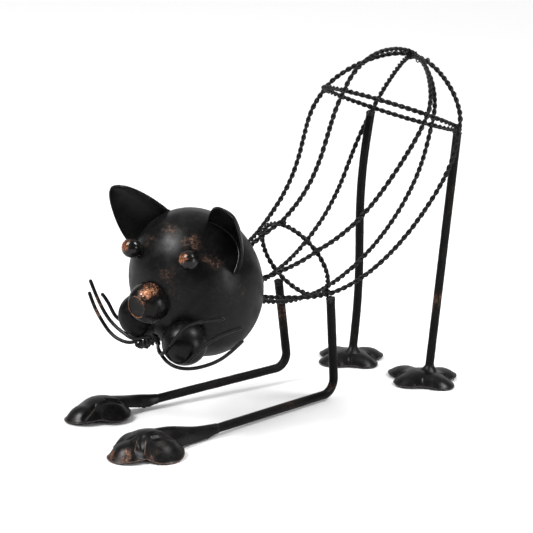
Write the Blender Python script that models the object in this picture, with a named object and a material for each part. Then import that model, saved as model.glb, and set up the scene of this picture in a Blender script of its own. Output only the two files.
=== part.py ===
# Cat ornament of painted steel, stretching with its chest down and its rump up.
# The body is an open cage of twisted wire on two hoops. It stands on four rods with
# clover shaped paws. The head is a closed ball with ears, eyes, nose, cheeks and whiskers.
#
# The cat faces -Y, its left side is +X, and its paws stand on z = 0.
# Lengths are millimetres and angles are degrees, up to the point where meshes are made.

import math

import bpy
import numpy as np
from mathutils import Euler, Vector

MM = 0.001

# Stock and fit
GAP = 0.3
ROD_DIAMETER = 6.0
WIRE_DIAMETER = 3.5
WHISKER_DIAMETER = 2.4
SHEET_THICKNESS = 1.2
ROD_BEND_RADIUS = 9.0

# Cage. A ring is given by its centre in the middle plane, its radius and the tilt of its
# plane from upright. What is higher than LEAN_HEIGHT is shifted towards the cat's left.
CAGE_LEAN = 2.0
LEAN_HEIGHT = 100.0
NECK_RING = {"y": -38.1, "z": 88.0, "radius": 15.3, "tilt": 29.2}
SHOULDER_HOOP = {"y": 10.1, "z": 96.6, "radius": 29.8, "tilt": 28.2}
RUMP_HOOP = {"y": 91.8, "z": 192.8, "radius": 49.0, "tilt": 70.0}
CROWN_HEIGHT = 41.0
CROWN_SHIFT = 1.0
CROWN_RADIUS = 5.5
CROWN_THICKNESS = 4.4

# Cross sections of the trunk between the two hoops
TRUNK_SECTIONS = [
    {"spine": (16.3, 147.5), "belly": (75.2, 84.5), "half_width": 42.6},
    {"spine": (27.5, 169.6), "belly": (109.6, 113.8), "half_width": 48.4},
    {"spine": (35.6, 196.1), "belly": (131.1, 144.8), "half_width": 54.4},
]

# Long wires. The angles are taken round each ring, from the spine towards the cat's left.
# The bulge is added halfway along, and the power sets how square the rump dome is.
LONG_WIRES = {
    "wire_spine": {"neck": -14.1, "shoulder": 3.4, "rump": 2.8, "bulge": -2.2, "power": 1.94},
    "wire_belly": {"neck": 176.5, "shoulder": 185.6, "rump": 187.0, "bulge": -2.6, "power": 1.75},
    "wire_upper_left": {"neck": 72.4, "shoulder": 61.0, "rump": 69.6, "bulge": -2.7, "power": 1.64},
    "wire_upper_right": {
        "neck": -58.6, "shoulder": -63.1, "rump": -71.3, "bulge": 8.7, "power": 1.45},
    "wire_lower_left": {
        "neck": 127.6, "shoulder": 131.1, "rump": 106.3, "bulge": -2.7, "power": 1.58},
    "wire_lower_right": {
        "neck": -134.0, "shoulder": -124.6, "rump": -124.2, "bulge": 4.2, "power": 1.32},
}

# Legs. The top of each rod is held below a hoop, at an angle round that hoop and set out
# from its wire. The bow is how far the middle of a rear rod is bent ahead. The sway is how
# far an S bend takes it back in its lower half and ahead in its upper half.
FRONT_LEGS = {
    "left": {"angle": 127.0, "outset": 4.3, "elbow": (21.1, 34.0, 4.2), "wrist": (34.1, -85.6, 5.0)},
    "right": {"angle": -131.0, "outset": 2.0, "elbow": (-26.0, 34.1, 10.7), "wrist": (-32.6, -80.1, 5.8)},
}
REAR_LEGS = {
    "left": {"angle": 122.5, "outset": -1.0, "foot": (34.0, 114.6), "bow": 0.0, "sway": 0.0},
    "right": {"angle": -120.0, "outset": -2.5, "foot": (-29.1, 101.5), "bow": 2.0, "sway": 2.5},
}

# Paws. A toe is an ellipse in plan that reaches out from the middle of the paw. Its lift is
# how far the underside of its tip is off the ground. The dome is the height of the middle.
TOE_HALF_LENGTH = 14.5
TOE_HALF_WIDTH = 11.5
PAW_RIM = 1.2
FRONT_PAWS = {
    "left": {
        "centre": (36.0, -147.0), "dome": 14.5,
        "toes": {"ahead": 28.0, "left": 29.0, "right": 25.0},
        "lifts": {"ahead": 0.0, "left": 1.2, "right": 1.0}},
    "right": {
        "centre": (-37.5, -126.0), "dome": 10.5,
        "toes": {"ahead": 23.5, "left": 19.5, "right": 19.5},
        "lifts": {"ahead": 0.0, "left": 0.0, "right": 0.0}},
}
REAR_PAWS = {
    "left": {
        "centre": (32.8, 110.2), "dome": 8.5,
        "toes": {"ahead": 23.0, "left": 24.0, "right": 30.5, "back": 30.5},
        "lifts": {"ahead": 0.6, "left": 0.2, "right": 1.0, "back": 1.6}},
    "right": {
        "centre": (-32.0, 102.0), "dome": 8.0,
        "toes": {"ahead": 24.5, "left": 22.0, "right": 27.0, "back": 30.5},
        "lifts": {"ahead": 0.0, "left": 0.0, "right": 0.4, "back": 1.0}},
}
NOTCH_LIFT = 1.0
FRONT_TOE_HEIGHT = 9.0
REAR_TOE_HEIGHT = 6.2
DOME_RADIUS = 17.0
TOE_ANGLES = {"ahead": -100.0, "left": 12.0, "right": 180.0, "back": 90.0}
WEB_RADIUS = 16.0
SOLE_RADIUS = 10.0
SLEEVE_HALF_WIDTH = 8.5
SLEEVE_HEIGHT = 15.5
SLEEVE_WALL = 0.5

# Head. The ball is longest along an axis that leans forward by HEAD_PITCH.
HEAD_CENTRE = (0.0, -78.0, 94.1)
HEAD_HALF_WIDTH = 43.5
HEAD_HALF_DEPTH = 42.0
HEAD_HALF_HEIGHT = 50.6
HEAD_PITCH = 25.0
FACE_TURN = 10.0

# Face. A feature sits on the ball in a direction from the ball's centre: the azimuth runs
# from straight ahead to the cat's left. The lift is how far its own centre is off the ball.
EYE_RADIUS = 6.4
EYE_STUB_RADIUS = 3.3
EYE_LIFT = 7.0
EYES = {
    "left": {"azimuth": 41.6, "elevation": 29.8},
    "right": {"azimuth": -15.5, "elevation": 29.4},
}
CHEEKS = {
    "left": {"azimuth": 40.0, "elevation": -35.7, "lift": 7.2, "radius": 14.7},
    "right": {"azimuth": -26.8, "elevation": -29.4, "lift": -0.5, "radius": 14.0},
}
NOSE = {"azimuth": 7.7, "elevation": -6.6, "lift": 2.4}
NOSE_RADIUS = 13.5
NOSE_HALF_LENGTH = 14.0
NOSE_FLAT_RADIUS = 6.9
NOSE_YAW = 6.0
NOSE_PITCH = -5.0

# Ears, given for the left one. The right one is its mirror image in the face's own plane.
# The outer rim is swept back by the opening and the tip by the curl, both along the sweep.
EAR_INNER = (18.2, -86.6, 140.8)
EAR_OUTER = (39.7, -82.1, 107.3)
EAR_TIP = (51.7, -104.5, 153.4)
EAR_CUP = 11.4
EAR_FULLNESS = 1.49
EAR_POINTEDNESS = 0.55
EAR_FLARE = 0.13
EAR_SWEEP = (0.43, 0.87, -0.26)
EAR_SWEEP_TURN = 108.0
EAR_OPENING = 7.3
EAR_CURL = 4.8

# Whiskers, root first. Each point is (to the cat's left, ahead, up) from the head's centre,
# along the turned face.
WHISKERS = {
    "whisker_left_1": [
        (14.5, 50.0, -34.7), (24.3, 50.5, -23.1), (31.3, 50.0, -14.7), (37.7, 50.0, -10.2),
        (48.6, 50.0, -5.7), (62.4, 50.0, -1.2)],
    "whisker_left_2": [
        (29.9, 44.0, -38.3), (36.9, 44.0, -30.8), (44.8, 44.0, -22.8), (53.0, 44.0, -16.6),
        (61.0, 44.0, -11.7), (72.3, 44.0, -6.0)],
    "whisker_left_3": [
        (6.1, 44.0, -34.4), (10.3, 44.0, -39.2), (17.4, 44.0, -42.7), (24.8, 44.0, -43.2),
        (34.5, 44.0, -41.2), (45.5, 44.0, -36.7), (56.4, 44.0, -30.2), (64.4, 44.0, -23.3),
        (73.2, 44.0, -14.1)],
    "whisker_right_1": [
        (-18.0, 32.5, -35.4), (-22.5, 35.0, -38.3), (-30.2, 36.0, -39.1), (-40.4, 36.0, -36.1),
        (-48.6, 36.0, -29.2), (-54.1, 36.0, -22.8), (-60.5, 36.0, -12.0)],
    "whisker_right_2": [
        (-6.0, 36.0, -30.6), (-16.5, 36.0, -33.9), (-24.7, 36.0, -34.7), (-31.8, 36.0, -32.8),
        (-40.7, 36.0, -28.2), (-49.9, 36.0, -19.1), (-60.0, 36.0, -3.6)],
    "whisker_right_3": [
        (-35.6, 32.0, -27.4), (-39.1, 33.0, -25.1), (-45.4, 33.0, -18.1), (-52.3, 33.0, -11.9)],
}

# Facets
TRUNK_RINGS = 23
RUMP_RINGS = 11
WHISKER_RINGS = 11
HOOP_SIDES = 36
BEND_STEPS = 5
PAW_SPOKES = 28
PAW_RINGS = 5
SLEEVE_SPOKES = 14
WIRE_SIDES = 6
ROD_SIDES = 10


def unit(vector):
    return vector / np.linalg.norm(vector)


def natural_spline(knots, values):
    # Cubic curve through the values, with no bend at its two ends.
    knots = np.array(knots, dtype=float)
    values = np.array(values, dtype=float)
    last = len(knots) - 1
    step = np.diff(knots)
    system = np.eye(last + 1)
    right = np.zeros_like(values)
    for i in range(1, last):
        system[i, i - 1:i + 2] = step[i - 1], 2 * (step[i - 1] + step[i]), step[i]
        ahead = (values[i + 1] - values[i]) / step[i]
        right[i] = 6 * (ahead - (values[i] - values[i - 1]) / step[i - 1])
    bend = np.linalg.solve(system, right)

    def value_at(where):
        i = int(np.clip(np.searchsorted(knots, where) - 1, 0, last - 1))
        before = (knots[i + 1] - where) / step[i]
        after = 1 - before
        curve = (before ** 3 - before) * bend[i] + (after ** 3 - after) * bend[i + 1]
        return before * values[i] + after * values[i + 1] + curve * step[i] ** 2 / 6

    return value_at


def path_lengths(points):
    steps = np.linalg.norm(np.diff(points, axis=0), axis=1)
    return np.concatenate([[0.0], np.cumsum(steps)])


def resample(points, count):
    # Evenly spaced points along a dense path.
    points = np.array(points)
    lengths = path_lengths(points)
    places = np.linspace(0, lengths[-1], count)
    return np.stack([np.interp(places, lengths, points[:, axis]) for axis in range(3)], axis=1)


def smooth_path(controls, count):
    controls = np.array(controls, dtype=float)
    curve = natural_spline(path_lengths(controls), controls)
    total = path_lengths(controls)[-1]
    return np.array([curve(place) for place in np.linspace(0, total, count)])


def rounded_bend(start, corner, end, radius, steps):
    # Arc that touches both straight runs of a bent rod.
    back = unit(start - corner)
    ahead = unit(end - corner)
    half = math.acos(np.clip(back @ ahead, -1, 1)) / 2
    centre = corner + unit(back + ahead) * radius / math.sin(half)
    reach = radius / math.tan(half)
    first = corner + back * reach - centre
    last = corner + ahead * reach - centre
    sweep = math.pi - 2 * half
    arc = []
    for i in range(steps + 1):
        turn = sweep * i / steps
        mix = math.sin(sweep - turn) * first + math.sin(turn) * last
        arc.append(centre + mix / math.sin(sweep))
    return arc


# Head ball

def head_axes():
    pitch = math.radians(HEAD_PITCH)
    side = np.array([1.0, 0.0, 0.0])
    tall = np.array([0.0, -math.sin(pitch), math.cos(pitch)])
    return np.stack([side, np.cross(tall, side), tall])


HEAD = np.array(HEAD_CENTRE)
HEAD_HALF = np.array([HEAD_HALF_WIDTH, HEAD_HALF_DEPTH, HEAD_HALF_HEIGHT])
HEAD_AXES = head_axes()


def head_level(point, clearance=GAP):
    # Below zero inside the ball grown by the clearance, above zero outside it.
    return np.linalg.norm(HEAD_AXES @ (point - HEAD) / (HEAD_HALF + clearance)) - 1


def head_hit(point, direction, clearance=GAP):
    # First point of the line, coming from outside along the direction, on the grown ball.
    start = HEAD_AXES @ (point - HEAD) / (HEAD_HALF + clearance)
    run = HEAD_AXES @ direction / (HEAD_HALF + clearance)
    a = run @ run
    b = start @ run
    inside = max(b * b - a * (start @ start - 1), 0.0)
    return point + direction * (-b - math.sqrt(inside)) / a


def face_direction(azimuth, elevation):
    turn = math.radians(azimuth)
    rise = math.radians(elevation)
    level = math.cos(rise)
    return np.array([math.sin(turn) * level, -math.cos(turn) * level, math.sin(rise)])


def on_head(azimuth, elevation, lift):
    outward = face_direction(azimuth, elevation)
    return head_hit(HEAD + outward * HEAD_HALF.max() * 2, -outward, 0.0) + outward * lift


def from_face(side, ahead, up):
    # A place given along the turned face, from the head's centre.
    turn = math.radians(FACE_TURN)
    left = np.array([math.cos(turn), math.sin(turn), 0.0])
    return HEAD + left * side + face_direction(FACE_TURN, 0.0) * ahead + np.array([0.0, 0.0, up])


def mirror_in_face(point):
    turn = math.radians(FACE_TURN)
    left = np.array([math.cos(turn), math.sin(turn), 0.0])
    return point - 2 * left * ((point - HEAD) @ left)


# Objects and materials

def paint(name, colour, roughness, metallic):
    material = bpy.data.materials.new(name)
    material.use_nodes = True
    shader = material.node_tree.nodes["Principled BSDF"]
    shader.inputs["Base Color"].default_value = (*colour, 1.0)
    shader.inputs["Roughness"].default_value = roughness
    shader.inputs["Metallic"].default_value = metallic
    return material


def add_object(name, data, material, parent):
    made = bpy.data.objects.new(name, data)
    bpy.context.scene.collection.objects.link(made)
    data.materials.append(material)
    made.parent = parent
    return made


def add_mesh(name, points, faces, material, parent, centre=(0.0, 0.0, 0.0)):
    # Points are millimetres in the figure, and centre becomes the object's own location.
    mesh = bpy.data.meshes.new(name)
    centre = np.array(centre, dtype=float)
    mesh.from_pydata([Vector(np.array(point) - centre) * MM for point in points], [], faces)
    mesh.shade_smooth()
    mesh.set_sharp_from_angle(angle=math.radians(40))
    mesh.update()
    made = add_object(name, mesh, material, parent)
    made.location = Vector(centre) * MM
    return made


def add_tube(name, points, diameter, sides, material, parent, closed=False):
    curve = bpy.data.curves.new(name, "CURVE")
    curve.dimensions = "3D"
    curve.bevel_depth = diameter / 2 * MM
    curve.bevel_resolution = sides // 2 - 2
    curve.use_fill_caps = not closed
    spline = curve.splines.new("POLY")
    spline.points.add(len(points) - 1)
    for slot, point in zip(spline.points, points):
        slot.co = (*(point * MM), 1.0)
    spline.use_cyclic_u = closed
    return add_object(name, curve, material, parent)


# Cage

def ring_up(ring):
    tilt = math.radians(ring["tilt"])
    return np.array([0.0, -math.sin(tilt), math.cos(tilt)])


def ring_point(ring, angle, offset=0.0):
    turn = math.radians(angle)
    centre = np.array([0.0, ring["y"], ring["z"]])
    outward = np.array([1.0, 0.0, 0.0]) * math.sin(turn) + ring_up(ring) * math.cos(turn)
    return centre + outward * (ring["radius"] + offset)


def leaned(point):
    shift = math.tan(math.radians(CAGE_LEAN)) * (point[2] - LEAN_HEIGHT)
    return np.array([point[0] + shift, point[1], point[2]])


def wire_offset():
    # Distance from a hoop's centre line out to the wires that cross over it.
    return WIRE_DIAMETER + 2 * GAP


def ring_section(ring, offset):
    up = ring_point(ring, 0.0, offset)
    down = ring_point(ring, 180.0, offset)
    return [up[1], up[2], down[1], down[2], ring["radius"] + offset]


def trunk():
    sections = [ring_section(NECK_RING, 0.0), ring_section(SHOULDER_HOOP, wire_offset())]
    for section in TRUNK_SECTIONS:
        sections.append([*section["spine"], *section["belly"], section["half_width"]])
    sections.append(ring_section(RUMP_HOOP, wire_offset()))
    return natural_spline(range(len(sections)), sections), len(sections) - 1


def crown_point():
    up = ring_up(RUMP_HOOP)
    centre = np.array([0.0, RUMP_HOOP["y"], RUMP_HOOP["z"]])
    return centre, centre + np.array([0.0, up[2], -up[1]]) * CROWN_HEIGHT - up * CROWN_SHIFT


def wire_angle(wire, place, last):
    if place < 1:
        return wire["neck"] + (wire["shoulder"] - wire["neck"]) * place
    share = (place - 1) / (last - 1)
    swell = wire["bulge"] * 4 * share * (1 - share)
    return wire["shoulder"] + (wire["rump"] - wire["shoulder"]) * share + swell


def wire_along_trunk(wire, steps=160):
    section_at, last = trunk()
    points = []
    for place in np.linspace(0, last, steps):
        spine_y, spine_z, belly_y, belly_z, half_width = section_at(place)
        turn = math.radians(wire_angle(wire, place, last))
        middle = np.array([0.0, (spine_y + belly_y) / 2, (spine_z + belly_z) / 2])
        half_height = np.array([0.0, (spine_y - belly_y) / 2, (spine_z - belly_z) / 2])
        side = np.array([half_width * math.sin(turn), 0.0, 0.0])
        points.append(middle + side + half_height * math.cos(turn))
    return points


def wire_over_rump(wire, steps=60):
    # A rounded quarter from the hoop to the crown, stopping short of the crown piece.
    centre, crown = crown_point()
    start = ring_point(RUMP_HOOP, wire["rump"], wire_offset()) - centre
    reach = CROWN_RADIUS + 2 * GAP
    points = []
    for turn in np.linspace(0, math.pi / 2, steps)[1:]:
        level, rise = math.cos(turn), math.sin(turn)
        size = (level ** wire["power"] + rise ** wire["power"]) ** (-1 / wire["power"])
        if np.linalg.norm(start) * level * size < reach:
            break
        points.append(centre + start * level * size + (crown - centre) * rise * size)
    return points


def wire_path(wire):
    # One ring of the tube lies just where the wire crosses the rump hoop.
    trunk_part = np.array([leaned(point) for point in wire_along_trunk(wire)])
    rump_part = np.array([trunk_part[-1]] + [leaned(point) for point in wire_over_rump(wire)])
    trunk_part = trunk_part[trim_at_head(trunk_part, WIRE_DIAMETER / 2):]
    return np.vstack([resample(trunk_part, TRUNK_RINGS), resample(rump_part, RUMP_RINGS)[1:]])


def trim_at_head(path, radius):
    # First place along the path where a flat cut end is clear of the head.
    for i in range(len(path) - 1):
        along = unit(path[i + 1] - path[i])
        side = unit(np.cross(along, [0.0, 0.0, 1.0]))
        other = np.cross(along, side)
        turns = np.linspace(0, 2 * math.pi, 12, endpoint=False)
        rim = [path[i] + (side * math.cos(turn) + other * math.sin(turn)) * radius for turn in turns]
        if min(head_level(point) for point in rim) > 0:
            return i
    return 0


def hoop_path(hoop):
    return np.array([leaned(ring_point(hoop, 360 * i / HOOP_SIDES)) for i in range(HOOP_SIDES)])


def make_cage(material, parent):
    for name, hoop in (("shoulder_hoop", SHOULDER_HOOP), ("rump_hoop", RUMP_HOOP)):
        add_tube(name, hoop_path(hoop), WIRE_DIAMETER, WIRE_SIDES, material, parent, closed=True)
    for name, wire in LONG_WIRES.items():
        add_tube(name, wire_path(wire), WIRE_DIAMETER, WIRE_SIDES, material, parent)
    make_crown(material, parent)


def make_crown(material, parent):
    # Knot that ties the six long wires together at the top of the rump.
    centre, crown = crown_point()
    axis = unit(leaned(crown) - leaned(centre))
    side = unit(np.cross(axis, [0.0, 1.0, 0.0]))
    place = leaned(crown)
    points, faces = turned_body(place, axis, side, CROWN_RADIUS, CROWN_THICKNESS / 2, 14, 6)
    add_mesh("crown_knot", points, faces, material, parent, place)


def turned_body(centre, axis, side, radius, half_height, spokes, rings):
    other = np.cross(axis, side)
    points = [centre + axis * half_height]
    for ring in range(1, rings):
        turn = math.pi * ring / rings
        for spoke in range(spokes):
            around = 2 * math.pi * spoke / spokes
            outward = side * math.cos(around) + other * math.sin(around)
            points.append(centre + axis * half_height * math.cos(turn) + outward * radius * math.sin(turn))
    points.append(centre - axis * half_height)
    return points, closed_rings(spokes, rings - 1)


def closed_rings(spokes, rings):
    # Faces of a body with a first point, a number of rings and a last point.
    faces = []
    last = 1 + spokes * rings
    for spoke in range(spokes):
        after = (spoke + 1) % spokes
        faces.append((0, 1 + spoke, 1 + after))
        for ring in range(rings - 1):
            start = 1 + ring * spokes
            below = start + spokes
            faces.append((start + spoke, below + spoke, below + after, start + after))
        final = 1 + (rings - 1) * spokes
        faces.append((final + spoke, last, final + after))
    return faces


# Legs

def top_below(place, lean, paths):
    # Height of a rod's cut top that stays clear of the wires passing over it.
    reach = ROD_DIAMETER / 2 + WIRE_DIAMETER / 2 + GAP
    heights = []
    for path in paths:
        dense = resample(path, len(path) * 12)
        near = np.linalg.norm(dense[:, :2] - place[:2], axis=1) < reach
        heights.extend(dense[near, 2])
    tilt_rise = ROD_DIAMETER / 2 * math.sin(math.radians(lean))
    return min(heights) - WIRE_DIAMETER / 2 - GAP - tilt_rise


def tilt_of(run):
    return math.degrees(math.atan2(math.hypot(run[0], run[1]), abs(run[2])))


def closed_hoop(hoop):
    path = hoop_path(hoop)
    return np.vstack([path, path[:1]])


def front_leg_path(side):
    leg = FRONT_LEGS[side]
    wire = LONG_WIRES["wire_lower_" + side]
    elbow = np.array(leg["elbow"])
    wrist = np.array(leg["wrist"])
    place = leaned(ring_point(SHOULDER_HOOP, leg["angle"], leg["outset"]))
    paths = [wire_path(wire), closed_hoop(SHOULDER_HOOP)]
    place[2] = top_below(place, tilt_of(place - elbow), paths)
    bend = rounded_bend(place, elbow, wrist, ROD_BEND_RADIUS, BEND_STEPS)
    return np.array([place, *bend, wrist])


def rear_leg_path(side):
    leg = REAR_LEGS[side]
    wire = LONG_WIRES["wire_lower_" + side]
    place = leaned(ring_point(RUMP_HOOP, leg["angle"], leg["outset"]))
    foot = np.array([*leg["foot"], paw_top_near(REAR_PAWS[side], leg["foot"]) + GAP])
    place[2] = top_below(place, tilt_of(place - foot), [wire_path(wire), closed_hoop(RUMP_HOOP)])
    foot[2] += ROD_DIAMETER / 2 * math.sin(math.radians(tilt_of(place - foot)))
    points = []
    for share in np.linspace(0, 1, 9):
        turn = math.pi * share
        bend = leg["sway"] * math.sin(2 * turn) - leg["bow"] * math.sin(turn)
        points.append(foot + (place - foot) * share + np.array([0.0, bend, 0.0]))
    return np.array(points)


def make_legs(material, parent):
    for side in ("left", "right"):
        add_tube("front_leg_" + side, front_leg_path(side), ROD_DIAMETER, ROD_SIDES, material, parent)
        add_tube("rear_leg_" + side, rear_leg_path(side), ROD_DIAMETER, ROD_SIDES, material, parent)


# Paws

TOE_WAYS = {toe: (math.cos(math.radians(angle)), math.sin(math.radians(angle)))
            for toe, angle in TOE_ANGLES.items()}


def toe_height(paw):
    # A front paw has its sleeve where a rear paw has its back toe.
    return REAR_TOE_HEIGHT if "back" in paw["toes"] else FRONT_TOE_HEIGHT


def toe_share(way, reach, x, y):
    # Zero in the middle of the toe and one on its edge.
    along = x * way[0] + y * way[1] - (reach - TOE_HALF_LENGTH)
    across = x * way[1] - y * way[0]
    return math.hypot(along / TOE_HALF_LENGTH, across / TOE_HALF_WIDTH)


def toe_edge(way, reach, x, y):
    # Distance from the middle of the paw to the toe's edge, in the unit direction x, y.
    centre = reach - TOE_HALF_LENGTH
    along = x * way[0] + y * way[1]
    across = x * way[1] - y * way[0]
    a = (along / TOE_HALF_LENGTH) ** 2 + (across / TOE_HALF_WIDTH) ** 2
    b = along * centre / TOE_HALF_LENGTH ** 2
    c = (centre / TOE_HALF_LENGTH) ** 2 - 1
    return (b + math.sqrt(max(b * b - a * c, 0.0))) / a


def paw_edge(paw, x, y):
    edges = [toe_edge(TOE_WAYS[toe], reach, x, y) for toe, reach in paw["toes"].items()]
    return max(edges + [WEB_RADIUS])


def edge_lift(paw, x, y):
    # The underside arches between two toes and rises to the tip of a lifted toe.
    lift = NOTCH_LIFT * math.sin(2 * math.atan2(y, x)) ** 2
    for toe, tip in paw["lifts"].items():
        towards = max(x * TOE_WAYS[toe][0] + y * TOE_WAYS[toe][1], 0.0)
        lift += tip * towards ** 4
    return lift


def paw_height(paw, x, y, edge_share):
    # The middle dome and the toes are blended by a power sum, and all fall to the rim.
    power = 5
    shares = [(math.hypot(x, y) / DOME_RADIUS, paw["dome"])]
    for toe, reach in paw["toes"].items():
        shares.append((toe_share(TOE_WAYS[toe], reach, x, y), toe_height(paw)))
    total = 0.0
    for share, height in shares:
        total += (height * math.sqrt(max(1 - share * share, 0.0))) ** power
    return PAW_RIM + total ** (1 / power) * (1 - edge_share ** 8)


def paw_top_near(paw, place):
    # Highest point of the paw under the cut end of a rod that stands on it.
    x, y = place[0] - paw["centre"][0], place[1] - paw["centre"][1]
    heights = [paw_height(paw, x, y, 0.0)]
    for spoke in range(PAW_SPOKES):
        turn = 2 * math.pi * spoke / PAW_SPOKES
        near = ROD_DIAMETER / 2
        heights.append(paw_height(paw, x + near * math.cos(turn), y + near * math.sin(turn), 0.0))
    return max(heights)


def paw_body(paw):
    centre = paw["centre"]
    ways = [2 * math.pi * spoke / PAW_SPOKES for spoke in range(PAW_SPOKES)]
    points = [np.array([*centre, paw_height(paw, 0.0, 0.0, 0.0)])]
    for ring in range(1, PAW_RINGS + 1):
        share = math.sin(math.pi / 2 * ring / PAW_RINGS)
        for way in ways:
            x, y = math.cos(way), math.sin(way)
            reach = paw_edge(paw, x, y) * share
            height = paw_height(paw, x * reach, y * reach, share) + edge_lift(paw, x, y) * share ** 4
            points.append(np.array([centre[0] + x * reach, centre[1] + y * reach, height]))
    for way in ways:
        x, y = math.cos(way), math.sin(way)
        reach = paw_edge(paw, x, y)
        points.append(np.array([centre[0] + x * reach, centre[1] + y * reach, edge_lift(paw, x, y)]))
    for way in ways:
        x, y = math.cos(way) * SOLE_RADIUS, math.sin(way) * SOLE_RADIUS
        points.append(np.array([centre[0] + x, centre[1] + y, 0.0]))
    faces = []
    bands = PAW_RINGS + 1
    for spoke in range(PAW_SPOKES):
        after = (spoke + 1) % PAW_SPOKES
        faces.append((0, 1 + spoke, 1 + after))
        for band in range(bands):
            inner = 1 + band * PAW_SPOKES
            outer = inner + PAW_SPOKES
            faces.append((inner + spoke, outer + spoke, outer + after, inner + after))
    sole = [1 + bands * PAW_SPOKES + spoke for spoke in reversed(range(PAW_SPOKES))]
    return points, faces + [sole]


def sleeve_body(side):
    # Wrist of sheet that wraps the end of the rod and runs down on to the paw.
    leg = FRONT_LEGS[side]
    wrist = np.array(leg["wrist"])
    paw = np.array([*FRONT_PAWS[side]["centre"], 0.0])
    run = unit(wrist - np.array(leg["elbow"]))
    start = wrist + run * GAP
    across = unit(np.cross(run, [0.0, 0.0, 1.0]))
    rod = ROD_DIAMETER / 2 + SLEEVE_WALL
    shapes = [
        (0.00, rod, start[2] - rod, start[2] + rod),
        (0.30, rod * 1.25, (start[2] - rod) * 0.7, start[2] + rod * 1.5),
        (0.62, SLEEVE_HALF_WIDTH * 0.85, 0.0, SLEEVE_HEIGHT * 0.9),
        (0.80, SLEEVE_HALF_WIDTH, 0.0, SLEEVE_HEIGHT),
        (0.93, SLEEVE_HALF_WIDTH * 0.8, 0.0, SLEEVE_HEIGHT * 0.8),
        (1.00, SLEEVE_HALF_WIDTH * 0.5, 0.0, SLEEVE_HEIGHT * 0.5),
    ]
    flat_start = np.array([start[0], start[1], 0.0])
    spokes = SLEEVE_SPOKES
    points = []
    for share, half_width, low, high in shapes:
        middle = flat_start + (paw - flat_start) * share
        side_way = across if share == 0 else unit(np.cross(paw - flat_start, [0.0, 0.0, 1.0]))
        for spoke in range(spokes):
            turn = 2 * math.pi * spoke / spokes
            level = (low + high) / 2 + (high - low) / 2 * math.sin(turn)
            if share > 0:
                level = max(low + (high - low) * math.sin(turn), low)
            points.append(middle + side_way * half_width * math.cos(turn) + np.array([0.0, 0.0, level]))
    faces = []
    for ring in range(len(shapes) - 1):
        for spoke in range(spokes):
            after = (spoke + 1) % spokes
            near = ring * spokes
            far = near + spokes
            faces.append((near + spoke, near + after, far + after, far + spoke))
    faces.append(list(reversed(range(spokes))))
    final = (len(shapes) - 1) * spokes
    faces.append([final + spoke for spoke in range(spokes)])
    return points, faces


def make_paws(material, parent):
    for side in ("left", "right"):
        rear = REAR_PAWS[side]
        points, faces = paw_body(rear)
        add_mesh("rear_paw_" + side, points, faces, material, parent, (*rear["centre"], 0.0))
        front = FRONT_PAWS[side]
        points, faces = paw_body(front)
        paw = add_mesh("front_paw_" + side, points, faces, material, parent, (*front["centre"], 0.0))
        points, faces = sleeve_body(side)
        sleeve = add_mesh("sleeve_guide_" + side, points, faces, material, parent, (*front["centre"], 0.0))
        sleeve.hide_render = True
        sleeve.display_type = "WIRE"
        union = paw.modifiers.new("sleeve", "BOOLEAN")
        union.operation = "UNION"
        union.solver = "EXACT"
        union.object = sleeve


# Head and face

def make_head(material, parent):
    spokes, rings = 26, 16
    centre = np.zeros(3)
    across, up = np.array([1.0, 0.0, 0.0]), np.array([0.0, 0.0, 1.0])
    points, faces = turned_body(centre, up, across, 1.0, 1.0, spokes, rings)
    points = [point * HEAD_HALF for point in points]
    head = add_mesh("head", points, faces, material, parent)
    head.location = Vector(HEAD_CENTRE) * MM
    head.rotation_euler = Euler((math.radians(HEAD_PITCH), 0.0, 0.0))


def seated_ball(centre, axis, radius, half_length, spokes, rings, flat_radius=0.0, stub_radius=0.0):
    # Turned body whose back follows the head's surface with the fit gap. Each meridian runs
    # from the front, past the widest place, to where it meets the head.
    side = unit(np.cross(axis, [0.0, 0.0, 1.0]))
    other = np.cross(axis, side)
    first = math.asin(flat_radius / radius)
    neck = math.pi - math.asin(stub_radius / radius)

    def meridian(place, around):
        outward = side * math.cos(around) + other * math.sin(around)
        turn = min(place, neck)
        straight = max(place - neck, 0.0) * half_length
        ahead = half_length * math.cos(turn) - straight
        return centre + axis * ahead + outward * radius * math.sin(turn)

    def contact(around):
        clear, blocked = first, first
        while head_level(meridian(blocked, around)) > 0 and blocked < math.pi * 2:
            clear = blocked
            blocked += 0.05
        for _ in range(24):
            middle = (clear + blocked) / 2
            if head_level(meridian(middle, around)) > 0:
                clear = middle
            else:
                blocked = middle
        return clear

    arounds = [2 * math.pi * spoke / spokes for spoke in range(spokes)]
    contacts = [contact(around) for around in arounds]
    shared = min(contacts)
    points = [centre + axis * half_length * math.cos(first)]
    for ring in range(rings):
        place = first + (shared - first) * (ring + (0 if flat_radius else 1)) / (rings + 0.5)
        points.extend(meridian(place, around) for around in arounds)
    rim = [meridian(place, around) for place, around in zip(contacts, arounds)]
    points.extend(rim)
    for share in (0.66, 0.33):
        for point in rim:
            inner = centre + axis * half_length + (point - centre - axis * ((point - centre) @ axis)) * share
            points.append(head_hit(inner, -axis))
    points.append(head_hit(centre + axis * half_length, -axis))
    return points, closed_rings(spokes, rings + 3)


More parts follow.
